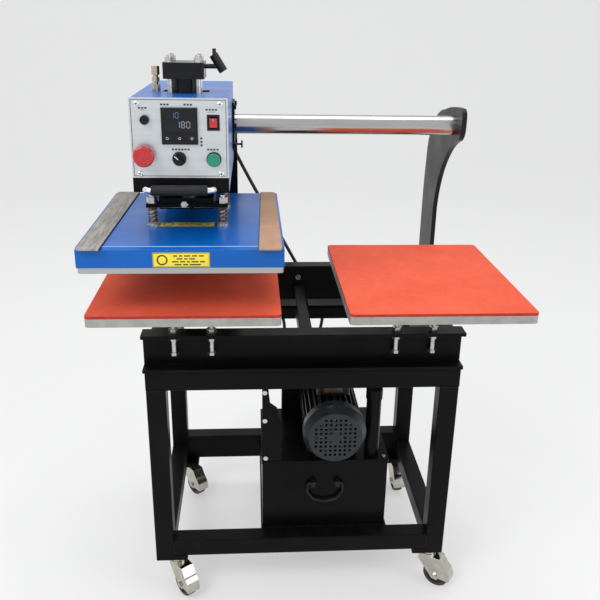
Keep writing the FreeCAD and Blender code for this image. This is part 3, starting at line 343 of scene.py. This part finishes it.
# In these looks the edge colour lightens the edges, partly as wear and partly as painted highlight.
LOOKS = {
    "frame": surface("frame_paint", (0.0024, 0.0024, 0.0028), rough=0.36, tint=0.3, scale=6, bump=0.10,
                     bump_scale=1100, edge=0.0015, edge_wear_and_highlight_colour=(0.035, 0.035, 0.035), specular=0.09,
                     dust=(0.012, 0.011, 0.010, 0.4)),
    "arm": surface("arm_paint", (0.004, 0.004, 0.0043), rough=0.40, tint=0.25, scale=5, bump=0.12,
                   bump_scale=900, edge=0.0015, edge_wear_and_highlight_colour=(0.14, 0.14, 0.14), specular=0.26),
    "tank": surface("tank_paint", (0.0024, 0.0024, 0.003), rough=0.28, tint=0.3, scale=4, bump=0.05,
                    bump_scale=500, edge=0.0015, specular=0.09, dust=(0.012, 0.011, 0.010, 0.4)),
    "blue": surface("blue_enamel", (0.0, 0.096, 0.40), rough=0.34, tint=0.10, scale=5, bump=0.08,
                    bump_scale=320, coat=0.15, coat_rough=0.08, edge=0.0018, edge_wear_and_highlight_colour=(0.08, 0.26, 0.58),
                    specular=0.22),
    "panel": brushed("panel_plate", (0.62, 0.66, 0.68), 0.36, metallic=0.7),
    "chrome": surface("chrome", (0.86, 0.87, 0.88), metallic=1.0, rough=0.08, tint=0.03, scale=30,
                      rough_spread=0.03, bump=0.0),
    "tube": surface("guide_chrome", (0.46, 0.455, 0.44), metallic=1.0, rough=0.22, tint=0.08, scale=60,
                    rough_spread=0.07, bump=0.05, bump_scale=700, stretch=(0.1, 1.0, 1.0)),
    "zinc": surface("zinc_bolts", (0.62, 0.61, 0.58), metallic=1.0, rough=0.30, tint=0.14, scale=140,
                    rough_spread=0.1, bump=0.1, bump_scale=1500, edge=0.0004),
    "stud": surface("stud_steel", (0.50, 0.50, 0.49), metallic=1.0, rough=0.33, tint=0.2, scale=90,
                    rough_spread=0.1, bump=0.1, bump_scale=1500, edge=0.0005),
    "cast": surface("cast_aluminium", (0.40, 0.385, 0.36), metallic=0.8, rough=0.46, tint=0.14, scale=40,
                    rough_spread=0.08, bump=0.5, bump_scale=420, edge=0.0008),
    "heater": brushed("heater_plate", (0.47, 0.48, 0.48), 0.38),
    "silicone": silicone(),
    "guards": guard_strips_with_painted_reflections(),
    "hose": surface("hose_rubber", (0.012, 0.012, 0.013), rough=0.48, tint=0.2, scale=30, bump=0.2,
                    bump_scale=1200),
    "grip": surface("grip_rubber", (0.008, 0.008, 0.009), rough=0.50, tint=0.2, scale=40, bump=0.4,
                    bump_scale=1300, specular=0.3),
    "plastic": surface("black_plastic", (0.006, 0.006, 0.007), rough=0.40, tint=0.2, scale=40, bump=0.25,
                       bump_scale=1700, edge=0.0006, specular=0.25),
    "dark_glass": surface("display_window", (0.006, 0.007, 0.009), rough=0.14, tint=0.2, scale=30,
                          rough_spread=0.03, bump=0.0, specular=0.3),
    "red": surface("red_button", (0.43, 0.008, 0.016), rough=0.34, tint=0.1, scale=50, bump=0.05,
                   bump_scale=900, coat=0.5, coat_rough=0.08, edge=0.0006),
    "red_deep": surface("red_rocker", (0.45, 0.01, 0.008), rough=0.25, tint=0.1, scale=60, bump=0.04,
                        coat=0.5),
    "green": surface("green_button", (0.0, 0.22, 0.125), rough=0.26, tint=0.1, scale=60, bump=0.04,
                     coat=0.5, edge=0.0005),
    "motor": surface("motor_paint", (0.006, 0.006, 0.007), rough=0.38, tint=0.25, scale=25, bump=0.35,
                     bump_scale=600, edge=0.0008, edge_wear_and_highlight_colour=(0.12, 0.12, 0.12)),
    "cowl": surface("cowl_paint", (0.012, 0.016, 0.020), rough=0.34, tint=0.25, scale=12, bump=0.05,
                    edge=0.0012, edge_wear_and_highlight_colour=(0.10, 0.11, 0.12), specular=0.35),
    "cylinder": surface("cylinder_paint", (0.006, 0.006, 0.007), rough=0.24, tint=0.25, scale=14, bump=0.05,
                        edge=0.0012, edge_wear_and_highlight_colour=(0.08, 0.08, 0.08), specular=0.25),
    "bronze": surface("bronze", (0.42, 0.27, 0.11), metallic=1.0, rough=0.35, tint=0.15, scale=60),
    "nickel": surface("nickel_brass", (0.56, 0.50, 0.38), metallic=1.0, rough=0.26, tint=0.14, scale=90,
                      rough_spread=0.08, bump=0.08, edge=0.0005),
    "spring": surface("spring_wire", (0.20, 0.125, 0.08), metallic=1.0, rough=0.38, tint=0.3, scale=160,
                      rough_spread=0.1, bump=0.15, bump_scale=1500),
    "board": surface("mineral_board", (0.62, 0.58, 0.50), rough=0.85, tint=0.12, scale=60, bump=0.4,
                     bump_scale=700),
    "caster": surface("pressed_zinc", (0.50, 0.48, 0.42), metallic=1.0, rough=0.15, tint=0.15, scale=50,
                      rough_spread=0.07, bump=0.08, bump_scale=900, edge=0.0008),
    "tread": surface("tread", (0.035, 0.030, 0.022), rough=0.6, tint=0.35, scale=40, bump=0.3,
                     bump_scale=500),
    "yellow": surface("yellow_plate", (0.82, 0.66, 0.025), rough=0.4, tint=0.06, scale=40, bump=0.05),
    # The lighter blue-grey here is a painted highlight along the cover's front fold.
    "ridge": surface("painted_highlight_fold", (0.30, 0.42, 0.60), rough=0.4, tint=0.2, scale=60, bump=0.05),
    "yellow_dim": surface("aged_plate", (0.62, 0.44, 0.03), rough=0.5, tint=0.12, scale=30, bump=0.08),
    "dark_fitting": surface("dark_fitting", (0.02, 0.02, 0.022), metallic=0.6, rough=0.30, tint=0.2,
                            scale=60, bump=0.06, edge=0.0008),
    "ink": surface("black_ink", (0.025, 0.025, 0.027), rough=0.5, tint=0.2, scale=60, bump=0.03),
    "white": surface("white_mark", (0.72, 0.73, 0.74), rough=0.4, tint=0.06, scale=60, bump=0.03),
    "amber": surface("rating_plate", (0.16, 0.075, 0.035), metallic=0.3, rough=0.4, tint=0.15, scale=60),
    "weld": surface("weld_paint", (0.005, 0.005, 0.006), rough=0.36, tint=0.25, scale=200, bump=0.4,
                    bump_scale=800, specular=0.2),
    "lit_white": glow("lit_white", (0.24, 0.26, 0.28), 0.14),
    "lit_blue": glow("lit_blue", (0.05, 0.14, 0.28), 0.10),
}

CORNERS = ("front_left", "front_right", "rear_left", "rear_right")
NODE_LOOKS = {
    "frame": "stand_legs stand_rails front_channel rear_beam frame_bars base_block bearing_housing"
             " reaction_arm press_plate unit_side_plate pump_block",
    "arm": "gooseneck_arms",
    "tank": "oil_tank tank_lid filter_canister",
    "blue": "head_box platen_housing",
    "panel": "control_panel",
    "chrome": "piston_rod handle_bar",
    "tube": "guide_tube",
    "zinc": "frame_bolts spring_bolts tie_rods motor_fan",
    "stud": "platen_studs",
    "cast": "lower_platens",
    "heater": "heating_plate",
    "silicone": "silicone_pads",
    "guards": "edge_guards",
    "hose": "pressure_hose return_hose",
    "grip": "handle_grip lock_knob",
    "plastic": "temperature_controller panel_fittings mode_selector guide_shoe bail_brackets tank_bail",
    "red": "stop_button",
    "red_deep": "power_rocker",
    "green": "start_button",
    "motor": "motor_body",
    "cowl": "fan_cover",
    "cylinder": "cylinder_barrel cylinder_heads",
    "bronze": "tube_bushes",
    "nickel": "hose_fittings",
    "spring": "platen_springs",
    "board": "insulation_board",
    "caster": "caster_stems " + " ".join("caster_fork_" + corner for corner in CORNERS),
    "tread": " ".join("caster_wheel_" + corner for corner in CORNERS),
}


def paint_nodes():
    for look, names in NODE_LOOKS.items():
        for name in names.split():
            slots = nodes[name].data.materials
            slots.clear()
            slots.append(LOOKS[look])


def second_look(node, look, chosen):
    """Gives a second look to the faces whose centre is chosen."""
    mesh = nodes[node].data
    mesh.materials.append(LOOKS[look])
    turn = nodes[node].matrix_world
    for face in mesh.polygons:
        if chosen(turn @ face.center):
            face.material_index = 1


# ---- mesh helpers ------------------------------------------------------------------------
CREASE = math.radians(38)


def make_piece(name, bm, look, smooth=True, creased=True):
    bmesh.ops.recalc_face_normals(bm, faces=bm.faces)
    mesh = bpy.data.meshes.new(name)
    bm.to_mesh(mesh)
    bm.free()
    for face in mesh.polygons:
        face.use_smooth = smooth
    if smooth and creased:
        mesh.set_sharp_from_angle(angle=CREASE)
    mesh.materials.append(LOOKS[look])
    piece = bpy.data.objects.new(name, mesh)
    scene.collection.objects.link(piece)
    return piece


def add_piece(name, bm, look, body, smooth=True):
    piece = make_piece(name, bm, look, smooth)
    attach(piece, body)
    return piece


def add_plate(bm, lo, hi, round_edge, segments):
    """A block with rounded edges between two corners, added to bm."""
    block = bmesh.new()
    bmesh.ops.create_cube(block, size=1.0)
    lo, hi = Vector(lo), Vector(hi)
    for vert in block.verts:
        vert.co = Vector([(lo[k] + hi[k]) / 2 + vert.co[k] * (hi[k] - lo[k]) for k in range(3)])
    bmesh.ops.bevel(block, geom=list(block.edges), offset=round_edge, segments=segments, profile=0.5,
                    affect="EDGES")
    mesh = bpy.data.meshes.new("scratch")
    block.to_mesh(mesh)
    block.free()
    bm.from_mesh(mesh)
    bpy.data.meshes.remove(mesh)


def add_ring(bm, centre, radius, u, w, sides):
    """One ring of points about centre, in the plane of u and w."""
    turns = [2 * math.pi * k / sides for k in range(sides)]
    return [bm.verts.new(centre + radius * (math.cos(t) * u + math.sin(t) * w)) for t in turns]


def join_rings(bm, rings, capped=True):
    sides = len(rings[0])
    for first, second in zip(rings, rings[1:]):
        for k in range(sides):
            after = (k + 1) % sides
            bm.faces.new((first[k], first[after], second[after], second[k]))
    if capped:
        bm.faces.new(rings[0])
        bm.faces.new(rings[-1])


def sweep(bm, points, radius, sides):
    """A round section carried along points; radius is a number or one number per point."""
    points = [Vector(p) for p in points]
    radii = radius if isinstance(radius, list) else [radius] * len(points)
    rings = []
    normal = None
    for i, point in enumerate(points):
        before = points[max(0, i - 1)]
        after = points[min(len(points) - 1, i + 1)]
        way = (after - before).normalized()
        if normal is None:
            normal = way.orthogonal().normalized()
        normal = (normal - way * normal.dot(way)).normalized()
        rings.append(add_ring(bm, point, radii[i], normal, way.cross(normal), sides))
    join_rings(bm, rings)


def lathe(bm, profile, place, axis, sides, hollow=False):
    """Turns (radius, height) pairs about axis through place; a hollow one closes on itself as a ring."""
    axis = Vector(axis).normalized()
    u = axis.orthogonal().normalized()
    w = axis.cross(u)
    rings = [add_ring(bm, Vector(place) + axis * height, radius, u, w, sides) for radius, height in profile]
    if hollow:
        rings.append(rings[0])
    join_rings(bm, rings, capped=not hollow)


# ---- hoses -------------------------------------------------------------------------------
PRESSURE_ROUTE = [(-0.2125, 0.1715, 1.25), (-0.2125, 0.2215, 1.25), (-0.1945, 0.2675, 1.216),
                  (-0.1665, 0.3015, 1.15), (-0.1295, 0.3175, 1.076), (-0.0855, 0.3235, 0.994),
                  (-0.0395, 0.3275, 0.906), (0.0065, 0.3295, 0.822), (0.0505, 0.3295, 0.746),
                  (0.0905, 0.3215, 0.672), (0.0865, 0.3415, 0.61), (0.0685, 0.3395, 0.556),
                  (0.0465, 0.3155, 0.52), (0.0325, 0.2635, 0.5), (0.0325, 0.2115, 0.5)]
RETURN_ROUTE = [(-0.2975, 0.1715, 1.242), (-0.2975, 0.2215, 1.242), (-0.2835, 0.2695, 1.204),
                (-0.2575, 0.3035, 1.132), (-0.2255, 0.3195, 1.052), (-0.1855, 0.3275, 0.968),
                (-0.1455, 0.3315, 0.882), (-0.1035, 0.3335, 0.798), (-0.0615, 0.3335, 0.716),
                (-0.0315, 0.3275, 0.648), (-0.0275, 0.3415, 0.588), (-0.0375, 0.3375, 0.532),
                (-0.0395, 0.3115, 0.492), (-0.0275, 0.2635, 0.468), (-0.0275, 0.2115, 0.468)]
HOSE_R = 0.005
HOSE_SIDES = 14
CURVE_STEPS = 12
FERRULE = [(0.0062, -0.0005), (0.0085, 0.0), (0.0085, 0.010), (0.0072, 0.0105), (0.0072, 0.0125),
           (0.0078, 0.013), (0.0078, 0.026), (0.0070, 0.028), (0.0052, 0.028)]


def smooth_path(name, route):
    """The points of one smooth curve that starts and ends where the route does."""
    curve = bpy.data.curves.new(name, "CURVE")
    curve.dimensions = "3D"
    curve.resolution_u = CURVE_STEPS
    line = curve.splines.new("NURBS")
    line.points.add(len(route) - 1)
    for point, place in zip(line.points, route):
        point.co = (*place, 1.0)
    line.order_u = 3
    line.use_endpoint_u = True
    holder = bpy.data.objects.new(name, curve)
    scene.collection.objects.link(holder)
    bpy.context.view_layer.update()
    graph = bpy.context.evaluated_depsgraph_get()
    mesh = bpy.data.meshes.new_from_object(holder.evaluated_get(graph))
    bpy.data.objects.remove(holder)
    return [tuple(vert.co) for vert in mesh.vertices]


def add_hose(node, route):
    path = smooth_path(node + "_line", route)
    bm = bmesh.new()
    sweep(bm, path, HOSE_R, HOSE_SIDES)
    tube = make_piece(node + "_tube", bm, "hose", creased=False)
    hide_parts(node)
    for tag, first, second, body in (("head", route[0], route[1], "carriage"),
                                     ("pump", route[-1], route[-2], "stand")):
        bm = bmesh.new()
        lathe(bm, FERRULE, first, Vector(second) - Vector(first), 24)
        add_piece(node + "_ferrule_" + tag, bm, "nickel", body)
    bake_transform(tube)


# ---- platen springs ----------------------------------------------------------------------
SPRING_SLEEVE_R = 0.011
COIL_R = 0.0090
WIRE_R = 0.0018
COIL_TURNS = 5.0
STEPS_A_TURN = 20
FLAT_PART = 0.14


def coil_points(x, y, low, high):
    """A spring's wire, with its first and last part lying flat."""
    count = int(COIL_TURNS * STEPS_A_TURN)
    points = []
    for i in range(count + 1):
        t = i / count
        lift = min(1.0, max(0.0, (t - FLAT_PART) / (1 - 2 * FLAT_PART)))
        turn = 2 * math.pi * COIL_TURNS * t
        points.append((x + COIL_R * math.cos(turn), y + COIL_R * math.sin(turn), low + lift * (high - low)))
    return points


def add_springs():
    lo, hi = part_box("platen_springs")
    low, high = lo.z + WIRE_R, hi.z - WIRE_R
    for side, x in (("left", lo.x + SPRING_SLEEVE_R), ("right", hi.x - SPRING_SLEEVE_R)):
        for end, y in (("front", lo.y + SPRING_SLEEVE_R), ("back", hi.y - SPRING_SLEEVE_R)):
            bm = bmesh.new()
            sweep(bm, coil_points(x, y, low, high), WIRE_R, 10)
            name = "spring_" + end + "_" + side
            add_piece(name, bm, "spring", "press")
    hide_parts("platen_springs")


# ---- control panel -----------------------------------------------------------------------
panel_lo, panel_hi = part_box("control_panel")
panel_x = (panel_lo.x + panel_hi.x) / 2
face_y = panel_lo.y
PRINT_RAISE = 0.00025
PRINT_EDGE = 0.0001
BORDER_INSET = 0.0032
BORDER_WIDTH = 0.0012

# Each caption is a row of blocks: the row's middle from the panel's middle, its height up the panel
# and how many blocks it has.
CAPTIONS = ((-0.0705, 0.1370, 3), (-0.0270, 0.1440, 3), (0.0188, 0.1440, 3), (0.0650, 0.1345, 4),
            (0.0017, 0.0560, 6), (0.0660, 0.0560, 4))
BLOCK_PITCH = 0.0062
BLOCK_HALF, BLOCK_TALL = 0.0022, 0.0034
# Underlines and the column beside the controller: middle, height up, half width and thickness.
UNDERLINES = ((-0.0705, 0.1343, 0.0045, 0.0008), (0.0650, 0.1313, 0.0085, 0.0008))
COLUMN = tuple((0.0436, 0.064 + 0.0070 * k, 0.0020, 0.0042) for k in range(3))

WINDOW_HALF, WINDOW_LOW, WINDOW_HIGH = 0.033, -0.010, 0.033
KEY_PITCH = 0.0245
KEY_HALF, KEY_LOW, KEY_HIGH, KEY_Z = 0.0075, -0.0285, -0.0185, -0.0235
KEY_RING = [(0.0024, 0.0), (0.0024, 0.0005), (0.0018, 0.0006), (0.0018, 0.0)]

STOP_FACE = 0.0237
STOP_RING = [(0.0150, 0.0), (0.0150, 0.0006), (0.0138, 0.0009), (0.0126, 0.0006), (0.0126, 0.0)]

SCREW_ACROSS = 0.082
SCREW_HEIGHTS = (0.0085, 0.147)
SCREW_HEAD = [(0.0054, 0.0), (0.0054, 0.0021), (0.0047, 0.0030), (0.0030, 0.0035), (0.0006, 0.0037)]


def add_panel_border():
    x0, x1 = panel_lo.x + BORDER_INSET, panel_hi.x - BORDER_INSET
    z0, z1 = panel_lo.z + BORDER_INSET, panel_hi.z - BORDER_INSET
    bm = bmesh.new()
    for left, right, low, high in ((x0, x1, z0, z0 + BORDER_WIDTH), (x0, x1, z1 - BORDER_WIDTH, z1),
                                   (x0, x0 + BORDER_WIDTH, z0, z1), (x1 - BORDER_WIDTH, x1, z0, z1)):
        add_plate(bm, (left, face_y - PRINT_RAISE, low), (right, face_y + 0.0002, high), PRINT_EDGE, 1)
    add_piece("panel_border", bm, "ink", "carriage")


def add_panel_marks():
    """Plain blocks where the panel has its captions."""
    blocks = []
    for x, z, count in CAPTIONS:
        for k in range(count):
            blocks.append((x + (k - (count - 1) / 2) * BLOCK_PITCH, z, BLOCK_HALF, BLOCK_TALL))
    bm = bmesh.new()
    for x, z, half, tall in (*blocks, *UNDERLINES, *COLUMN):
        add_plate(bm, (panel_x + x - half, face_y - PRINT_RAISE, panel_lo.z + z),
                  (panel_x + x + half, face_y + 0.0001, panel_lo.z + z + tall), PRINT_EDGE, 1)
    add_piece("panel_marks", bm, "ink", "carriage")


# Each segment of a figure: its middle, in half widths and half heights, and which way it lies.
SEGMENTS = {
    "a": (0, 1, "level"), "b": (1, 0.5, "upright"), "c": (1, -0.5, "upright"), "d": (0, -1, "level"),
    "e": (-1, -0.5, "upright"), "f": (-1, 0.5, "upright"), "g": (0, 0, "level"),
}
LIT = {"0": "abcdef", "1": "bc", "8": "abcdefg"}


def add_segment(bm, x, y, z, half_length, thick, way):
    """A thin bar with pointed ends."""
    body = half_length - thick
    outline = [(-half_length, 0), (-body, thick), (body, thick), (half_length, 0), (body, -thick),
               (-body, -thick)]
    if way == "upright":
        outline = [(up, across) for across, up in outline]
    front = [bm.verts.new((x + across, y - 0.0003, z + up)) for across, up in outline]
    back = [bm.verts.new((x + across, y + 0.0002, z + up)) for across, up in outline]
    join_rings(bm, [front, back])


def add_digits(name, look, text, x, z, y, height):
    """Seven-segment figures in the middle of a row at x, z."""
    half_tall, half_wide = height / 2, height * 0.27
    pitch = height * 0.85
    bm = bmesh.new()
    for n, figure in enumerate(text):
        middle = x + (n - (len(text) - 1) / 2) * pitch
        for key in LIT[figure]:
            across, up, way = SEGMENTS[key]
            half_length = (half_wide if way == "level" else half_tall / 2) * 0.88
            add_segment(bm, middle + across * half_wide, y, z + up * half_tall, half_length,
                        height * 0.062, way)
    add_piece(name, bm, look, "carriage", smooth=False)


def add_controller_face():
    """The controller's window, its three keys with a ring on each, and the two lit rows."""
    lo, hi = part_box("temperature_controller")
    x, z, front = (lo.x + hi.x) / 2, (lo.z + hi.z) / 2, lo.y
    key_places = [x + KEY_PITCH * k for k in (-1, 0, 1)]
    bm = bmesh.new()
    add_plate(bm, (x - WINDOW_HALF, front - 0.0008, z + WINDOW_LOW),
              (x + WINDOW_HALF, front + 0.0006, z + WINDOW_HIGH), 0.0005, 2)
    add_piece("controller_window", bm, "dark_glass", "carriage")
    bm = bmesh.new()
    for key_x in key_places:
        add_plate(bm, (key_x - KEY_HALF, front - 0.0014, z + KEY_LOW),
                  (key_x + KEY_HALF, front + 0.0004, z + KEY_HIGH), 0.0009, 3)
    add_piece("controller_keys", bm, "grip", "carriage")
    bm = bmesh.new()
    for key_x in key_places:
        lathe(bm, KEY_RING, (key_x, front - 0.0013, z + KEY_Z), (0, -1, 0), 20, hollow=True)
    add_piece("controller_key_rings", bm, "white", "carriage")
    glass = front - 0.0009
    add_digits("display_upper", "lit_blue", "10", x - 0.0085, z + 0.0215, glass, 0.0105)
    add_digits("display_lower", "lit_white", "180", x + 0.0075, z + 0.0035, glass, 0.012)


def add_screws():
    """Domed cross-head screws at the panel's corners, their cross recesses drawn as black blocks of painted
    shade.
    """
    heads, slots = bmesh.new(), bmesh.new()
    for across in (-SCREW_ACROSS, SCREW_ACROSS):
        for up in SCREW_HEIGHTS:
            x, z = panel_x + across, panel_lo.z + up
            lathe(heads, SCREW_HEAD, (x, face_y, z), (0, -1, 0), 28)
            # Each cross recess is two black blocks: painted shade.
            for wide, tall in ((0.0030, 0.0006), (0.0006, 0.0030)):
                add_plate(slots, (x - wide, face_y - 0.0040, z - tall),
                          (x + wide, face_y - 0.0030, z + tall), PRINT_EDGE, 1)
    add_piece("panel_screw_heads", heads, "chrome", "carriage")
    add_piece("panel_screw_slot_shade", slots, "ink", "carriage")


def add_turned_mark(name, place, angle, axis, lo, hi, edge, body):
    """A white line between two corners, turned about its own origin and moved to place."""
    bm = bmesh.new()
    add_plate(bm, lo, hi, edge, 1)
    turn = Matrix.Translation(place) @ Matrix.Rotation(math.radians(angle), 4, axis)
    bmesh.ops.transform(bm, matrix=turn, verts=bm.verts)
    add_piece(name, bm, "white", body)


def add_control_marks():
    lo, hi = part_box("mode_selector")
    add_turned_mark("selector_pointer", ((lo.x + hi.x) / 2, lo.y, (lo.z + hi.z) / 2), -45, "Y",
                    (-0.0008, -0.0004, 0.0015), (0.0008, 0.0004, 0.0115), 0.0002, "mode_selector")
    lo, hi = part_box("power_rocker")
    add_turned_mark("rocker_mark", ((lo.x + hi.x) / 2, lo.y + 0.0005, hi.z - 0.0040), 22, "X",
                    (-0.0005, -0.0006, -0.0022), (0.0005, 0.0003, 0.0022), 0.0001, "power_rocker")
    lo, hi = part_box("stop_button")
    bm = bmesh.new()
    lathe(bm, STOP_RING, ((lo.x + hi.x) / 2, face_y - STOP_FACE, (lo.z + hi.z) / 2), (0, -1, 0), 40,
          hollow=True)
    add_piece("stop_button_ring", bm, "red_deep", "stop_button")


# ---- labels and the platen cover ---------------------------------------------------------
housing_lo, housing_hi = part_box("platen_housing")

# Rows of short bars standing for print: the row's middle and each bar's two ends, as parts of the
# label's height and width.
PRINT_ROWS = (
    (0.78, ((0.36, 0.43), (0.46, 0.52), (0.55, 0.66), (0.69, 0.78), (0.81, 0.90))),
    (0.58, ((0.42, 0.52), (0.55, 0.61), (0.64, 0.74))),
    (0.38, ((0.34, 0.45), (0.48, 0.57), (0.60, 0.65), (0.68, 0.80), (0.83, 0.91))),
    (0.18, ((0.38, 0.50), (0.53, 0.62), (0.65, 0.84))),
)
HALF_LABEL = 0.0004
LABEL_SHIFT = 0.001
FRONT_HALF_WIDTH, FRONT_LOW, FRONT_HIGH = 0.056, 0.0015, 0.0315
TOP_LEFT, TOP_RIGHT, TOP_BACK_BY, TOP_DEEP = 0.062, 0.058, 0.166, 0.032
LABEL_LINE = 0.0008
HALF_BAR = 0.045
RING_ACROSS = 0.165
RING_SIZE = 0.36
RING_HOLE = 0.74
# How far each guard strip's inner edge stands in from its outer one, at the front and at the back.
LEFT_GUARD_WIDTHS = (0.044, 0.053)
RIGHT_GUARD_WIDTHS = (0.046, 0.036)


def add_label(name, lo, hi, out, look):
    """A thin plate with a fine border, a plain ring and short bars; its print faces out."""
    lo, hi, out = Vector(lo), Vector(hi), Vector(out)
    across = 0
    up, facing = (2, 1) if out.y else (1, 2)
    bm = bmesh.new()
    add_plate(bm, lo, hi, 0.0003, 2)
    add_piece(name, bm, look, "press")
    width, height = hi[across] - lo[across], hi[up] - lo[up]
    bm = bmesh.new()

    def add_bar(left, right, low, high):
        corner, far = lo.copy(), hi.copy()
        corner[across], far[across] = lo[across] + left * width, lo[across] + right * width
        corner[up], far[up] = lo[up] + low * height, lo[up] + high * height
        if out[facing] < 0:
            corner[facing] -= PRINT_RAISE
        else:
            far[facing] += PRINT_RAISE
        add_plate(bm, corner, far, PRINT_EDGE, 1)

    line_x, line_z = LABEL_LINE / width, LABEL_LINE / height
    add_bar(line_x, 1.0 - line_x, line_z, 2 * line_z)
    add_bar(line_x, 1.0 - line_x, 1.0 - 2 * line_z, 1.0 - line_z)
    add_bar(line_x, 2 * line_x, 2 * line_z, 1.0 - 2 * line_z)
    add_bar(1.0 - 2 * line_x, 1.0 - line_x, 2 * line_z, 1.0 - 2 * line_z)
    for level, words in PRINT_ROWS:
        for left, right in words:
            add_bar(left, right, level - HALF_BAR, level + HALF_BAR)
    centre = (lo + hi) / 2
    centre[across] = lo[across] + RING_ACROSS * width
    centre[facing] = lo[facing] if out[facing] < 0 else hi[facing]
    radius = RING_SIZE * height
    inner = RING_HOLE * radius
    lathe(bm, [(radius, -0.0002), (radius, PRINT_RAISE), (inner, PRINT_RAISE), (inner, -0.0002)],
          centre, out, 40, hollow=True)
    add_piece(name + "_print", bm, "ink", "press")


def add_labels():
    """One label upright on the platen cover's front and an aged one lying on its top."""
    x = (housing_lo.x + housing_hi.x) / 2 + LABEL_SHIFT
    y, z = housing_lo.y, housing_lo.z
    add_label("front_label", (x - FRONT_HALF_WIDTH, y - HALF_LABEL, z + FRONT_LOW),
              (x + FRONT_HALF_WIDTH, y + HALF_LABEL, z + FRONT_HIGH), (0, -1, 0), "yellow")
    y, z = housing_lo.y + TOP_BACK_BY, housing_hi.z
    add_label("top_label", (x - TOP_LEFT, y, z - HALF_LABEL),
              (x + TOP_RIGHT, y + TOP_DEEP, z + HALF_LABEL), (0, 0, 1), "yellow_dim")


def add_cover_edges():
    """A painted highlight along the fold at the platen cover's front, and painted shadow along the guards'
    inner edges.
    """
    bm = bmesh.new()
    y, z = housing_lo.y + 0.014, housing_hi.z - 0.0005
    sweep(bm, [(housing_lo.x + 0.050, y, z), (housing_hi.x - 0.052, y, z)], 0.0012, 8)
    add_piece("housing_ridge_highlight", bm, "ridge", "press")
    # Dark lines along the guards' inner edges: painted shadow of the gap between each strip and the cover.
    lo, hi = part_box("edge_guards")
    z = hi.z - 0.0015
    bm = bmesh.new()
    for outer, way, widths in ((lo.x, 1, LEFT_GUARD_WIDTHS), (hi.x, -1, RIGHT_GUARD_WIDTHS)):
        front_x, back_x = [outer + way * width for width in widths]
        sweep(bm, [(front_x, lo.y + 0.001, z), (back_x, hi.y - 0.001, z)], 0.0014, 8)
    add_piece("guard_edge_shadows", bm, "ink", "press")


# ---- second looks ------------------------------------------------------------------------
def split_fittings():
    """The banjo elbow on the right is dark; the bleed valve on the left is nickel."""
    lo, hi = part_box("cylinder_barrel")
    right_of = (lo.x + hi.x) / 2 + 0.046
    second_look("hose_fittings", "dark_fitting", lambda place: place.x > right_of)


def split_press_bolt():
    """The left one of the two bolt heads on the pressure plate's front is bright zinc."""
    lo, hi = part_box("press_plate")
    middle = (lo.x + hi.x) / 2

    def on_bolt(place):
        at_front = place.y < lo.y + 0.0045 and place.z > lo.z + 0.0025
        return at_front and middle - 0.02 < place.x < middle + 0.003

    second_look("press_plate", "zinc", on_bolt)


# ---- motor plate and weld beads ----------------------------------------------------------
TUBE_WIDTH = 0.050
BEAD_STEP = 0.0016
BEAD_R = 0.0015
BEAD_RIPPLE = 0.00045
BEAD_END_R = 0.0008
RATING_HALF_WIDTH = 0.026
RATING_LOW, RATING_HIGH = 0.028, 0.012


def add_rating_plate():
    lo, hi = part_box("motor_body")
    x, y = (lo.x + hi.x) / 2, lo.y + 0.0458
    bm = bmesh.new()
    add_plate(bm, (x - RATING_HALF_WIDTH, y - 0.0005, hi.z - RATING_LOW),
              (x + RATING_HALF_WIDTH, y + 0.0004, hi.z - RATING_HIGH), 0.0003, 2)
    add_piece("rating_plate", bm, "amber", "stand")


def weld_seams():
    """Both ends of each seam: beside the lower rails, and under the upper rail on each front leg."""
    lo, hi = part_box("stand_legs")
    rails_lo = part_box("stand_rails")[0]
    low, high = rails_lo.z + 0.003, rails_lo.z + TUBE_WIDTH - 0.003
    seams = []
    for outer, inner in ((lo.x, lo.x + TUBE_WIDTH), (hi.x, hi.x - TUBE_WIDTH)):
        x0, x1 = min(outer, inner), max(outer, inner)
        seams.append(((inner, lo.y, low), (inner, lo.y, high)))
        seams.append(((x0 + 0.004, lo.y, hi.z), (x1 - 0.004, lo.y, hi.z)))
        for y in (lo.y + TUBE_WIDTH, hi.y - TUBE_WIDTH):
            seams.append(((inner, y, low), (inner, y, high)))
            seams.append(((outer, y, low), (outer, y, high)))
    return seams


def add_welds():
    """Small rippled beads where the stand's tubes meet."""
    bm = bmesh.new()
    for start, end in weld_seams():
        start, end = Vector(start), Vector(end)
        count = max(8, int((end - start).length / BEAD_STEP))
        points = [start.lerp(end, i / count) for i in range(count + 1)]
        radii = [BEAD_R + BEAD_RIPPLE * math.sin(i * 1.9) for i in range(count + 1)]
        radii[0] = radii[-1] = BEAD_END_R
        sweep(bm, points, radii, 8)
    add_piece("weld_beads", bm, "weld", "stand")


# ---- the whole scene ---------------------------------------------------------------------
paint_nodes()
add_camera()
add_hose("pressure_hose", PRESSURE_ROUTE)
add_hose("return_hose", RETURN_ROUTE)
add_springs()
add_panel_border()
add_panel_marks()
add_controller_face()
add_screws()
add_control_marks()
add_labels()
add_cover_edges()
split_fittings()
split_press_bolt()
add_rating_plate()
add_welds()
add_lights()
add_backdrop()
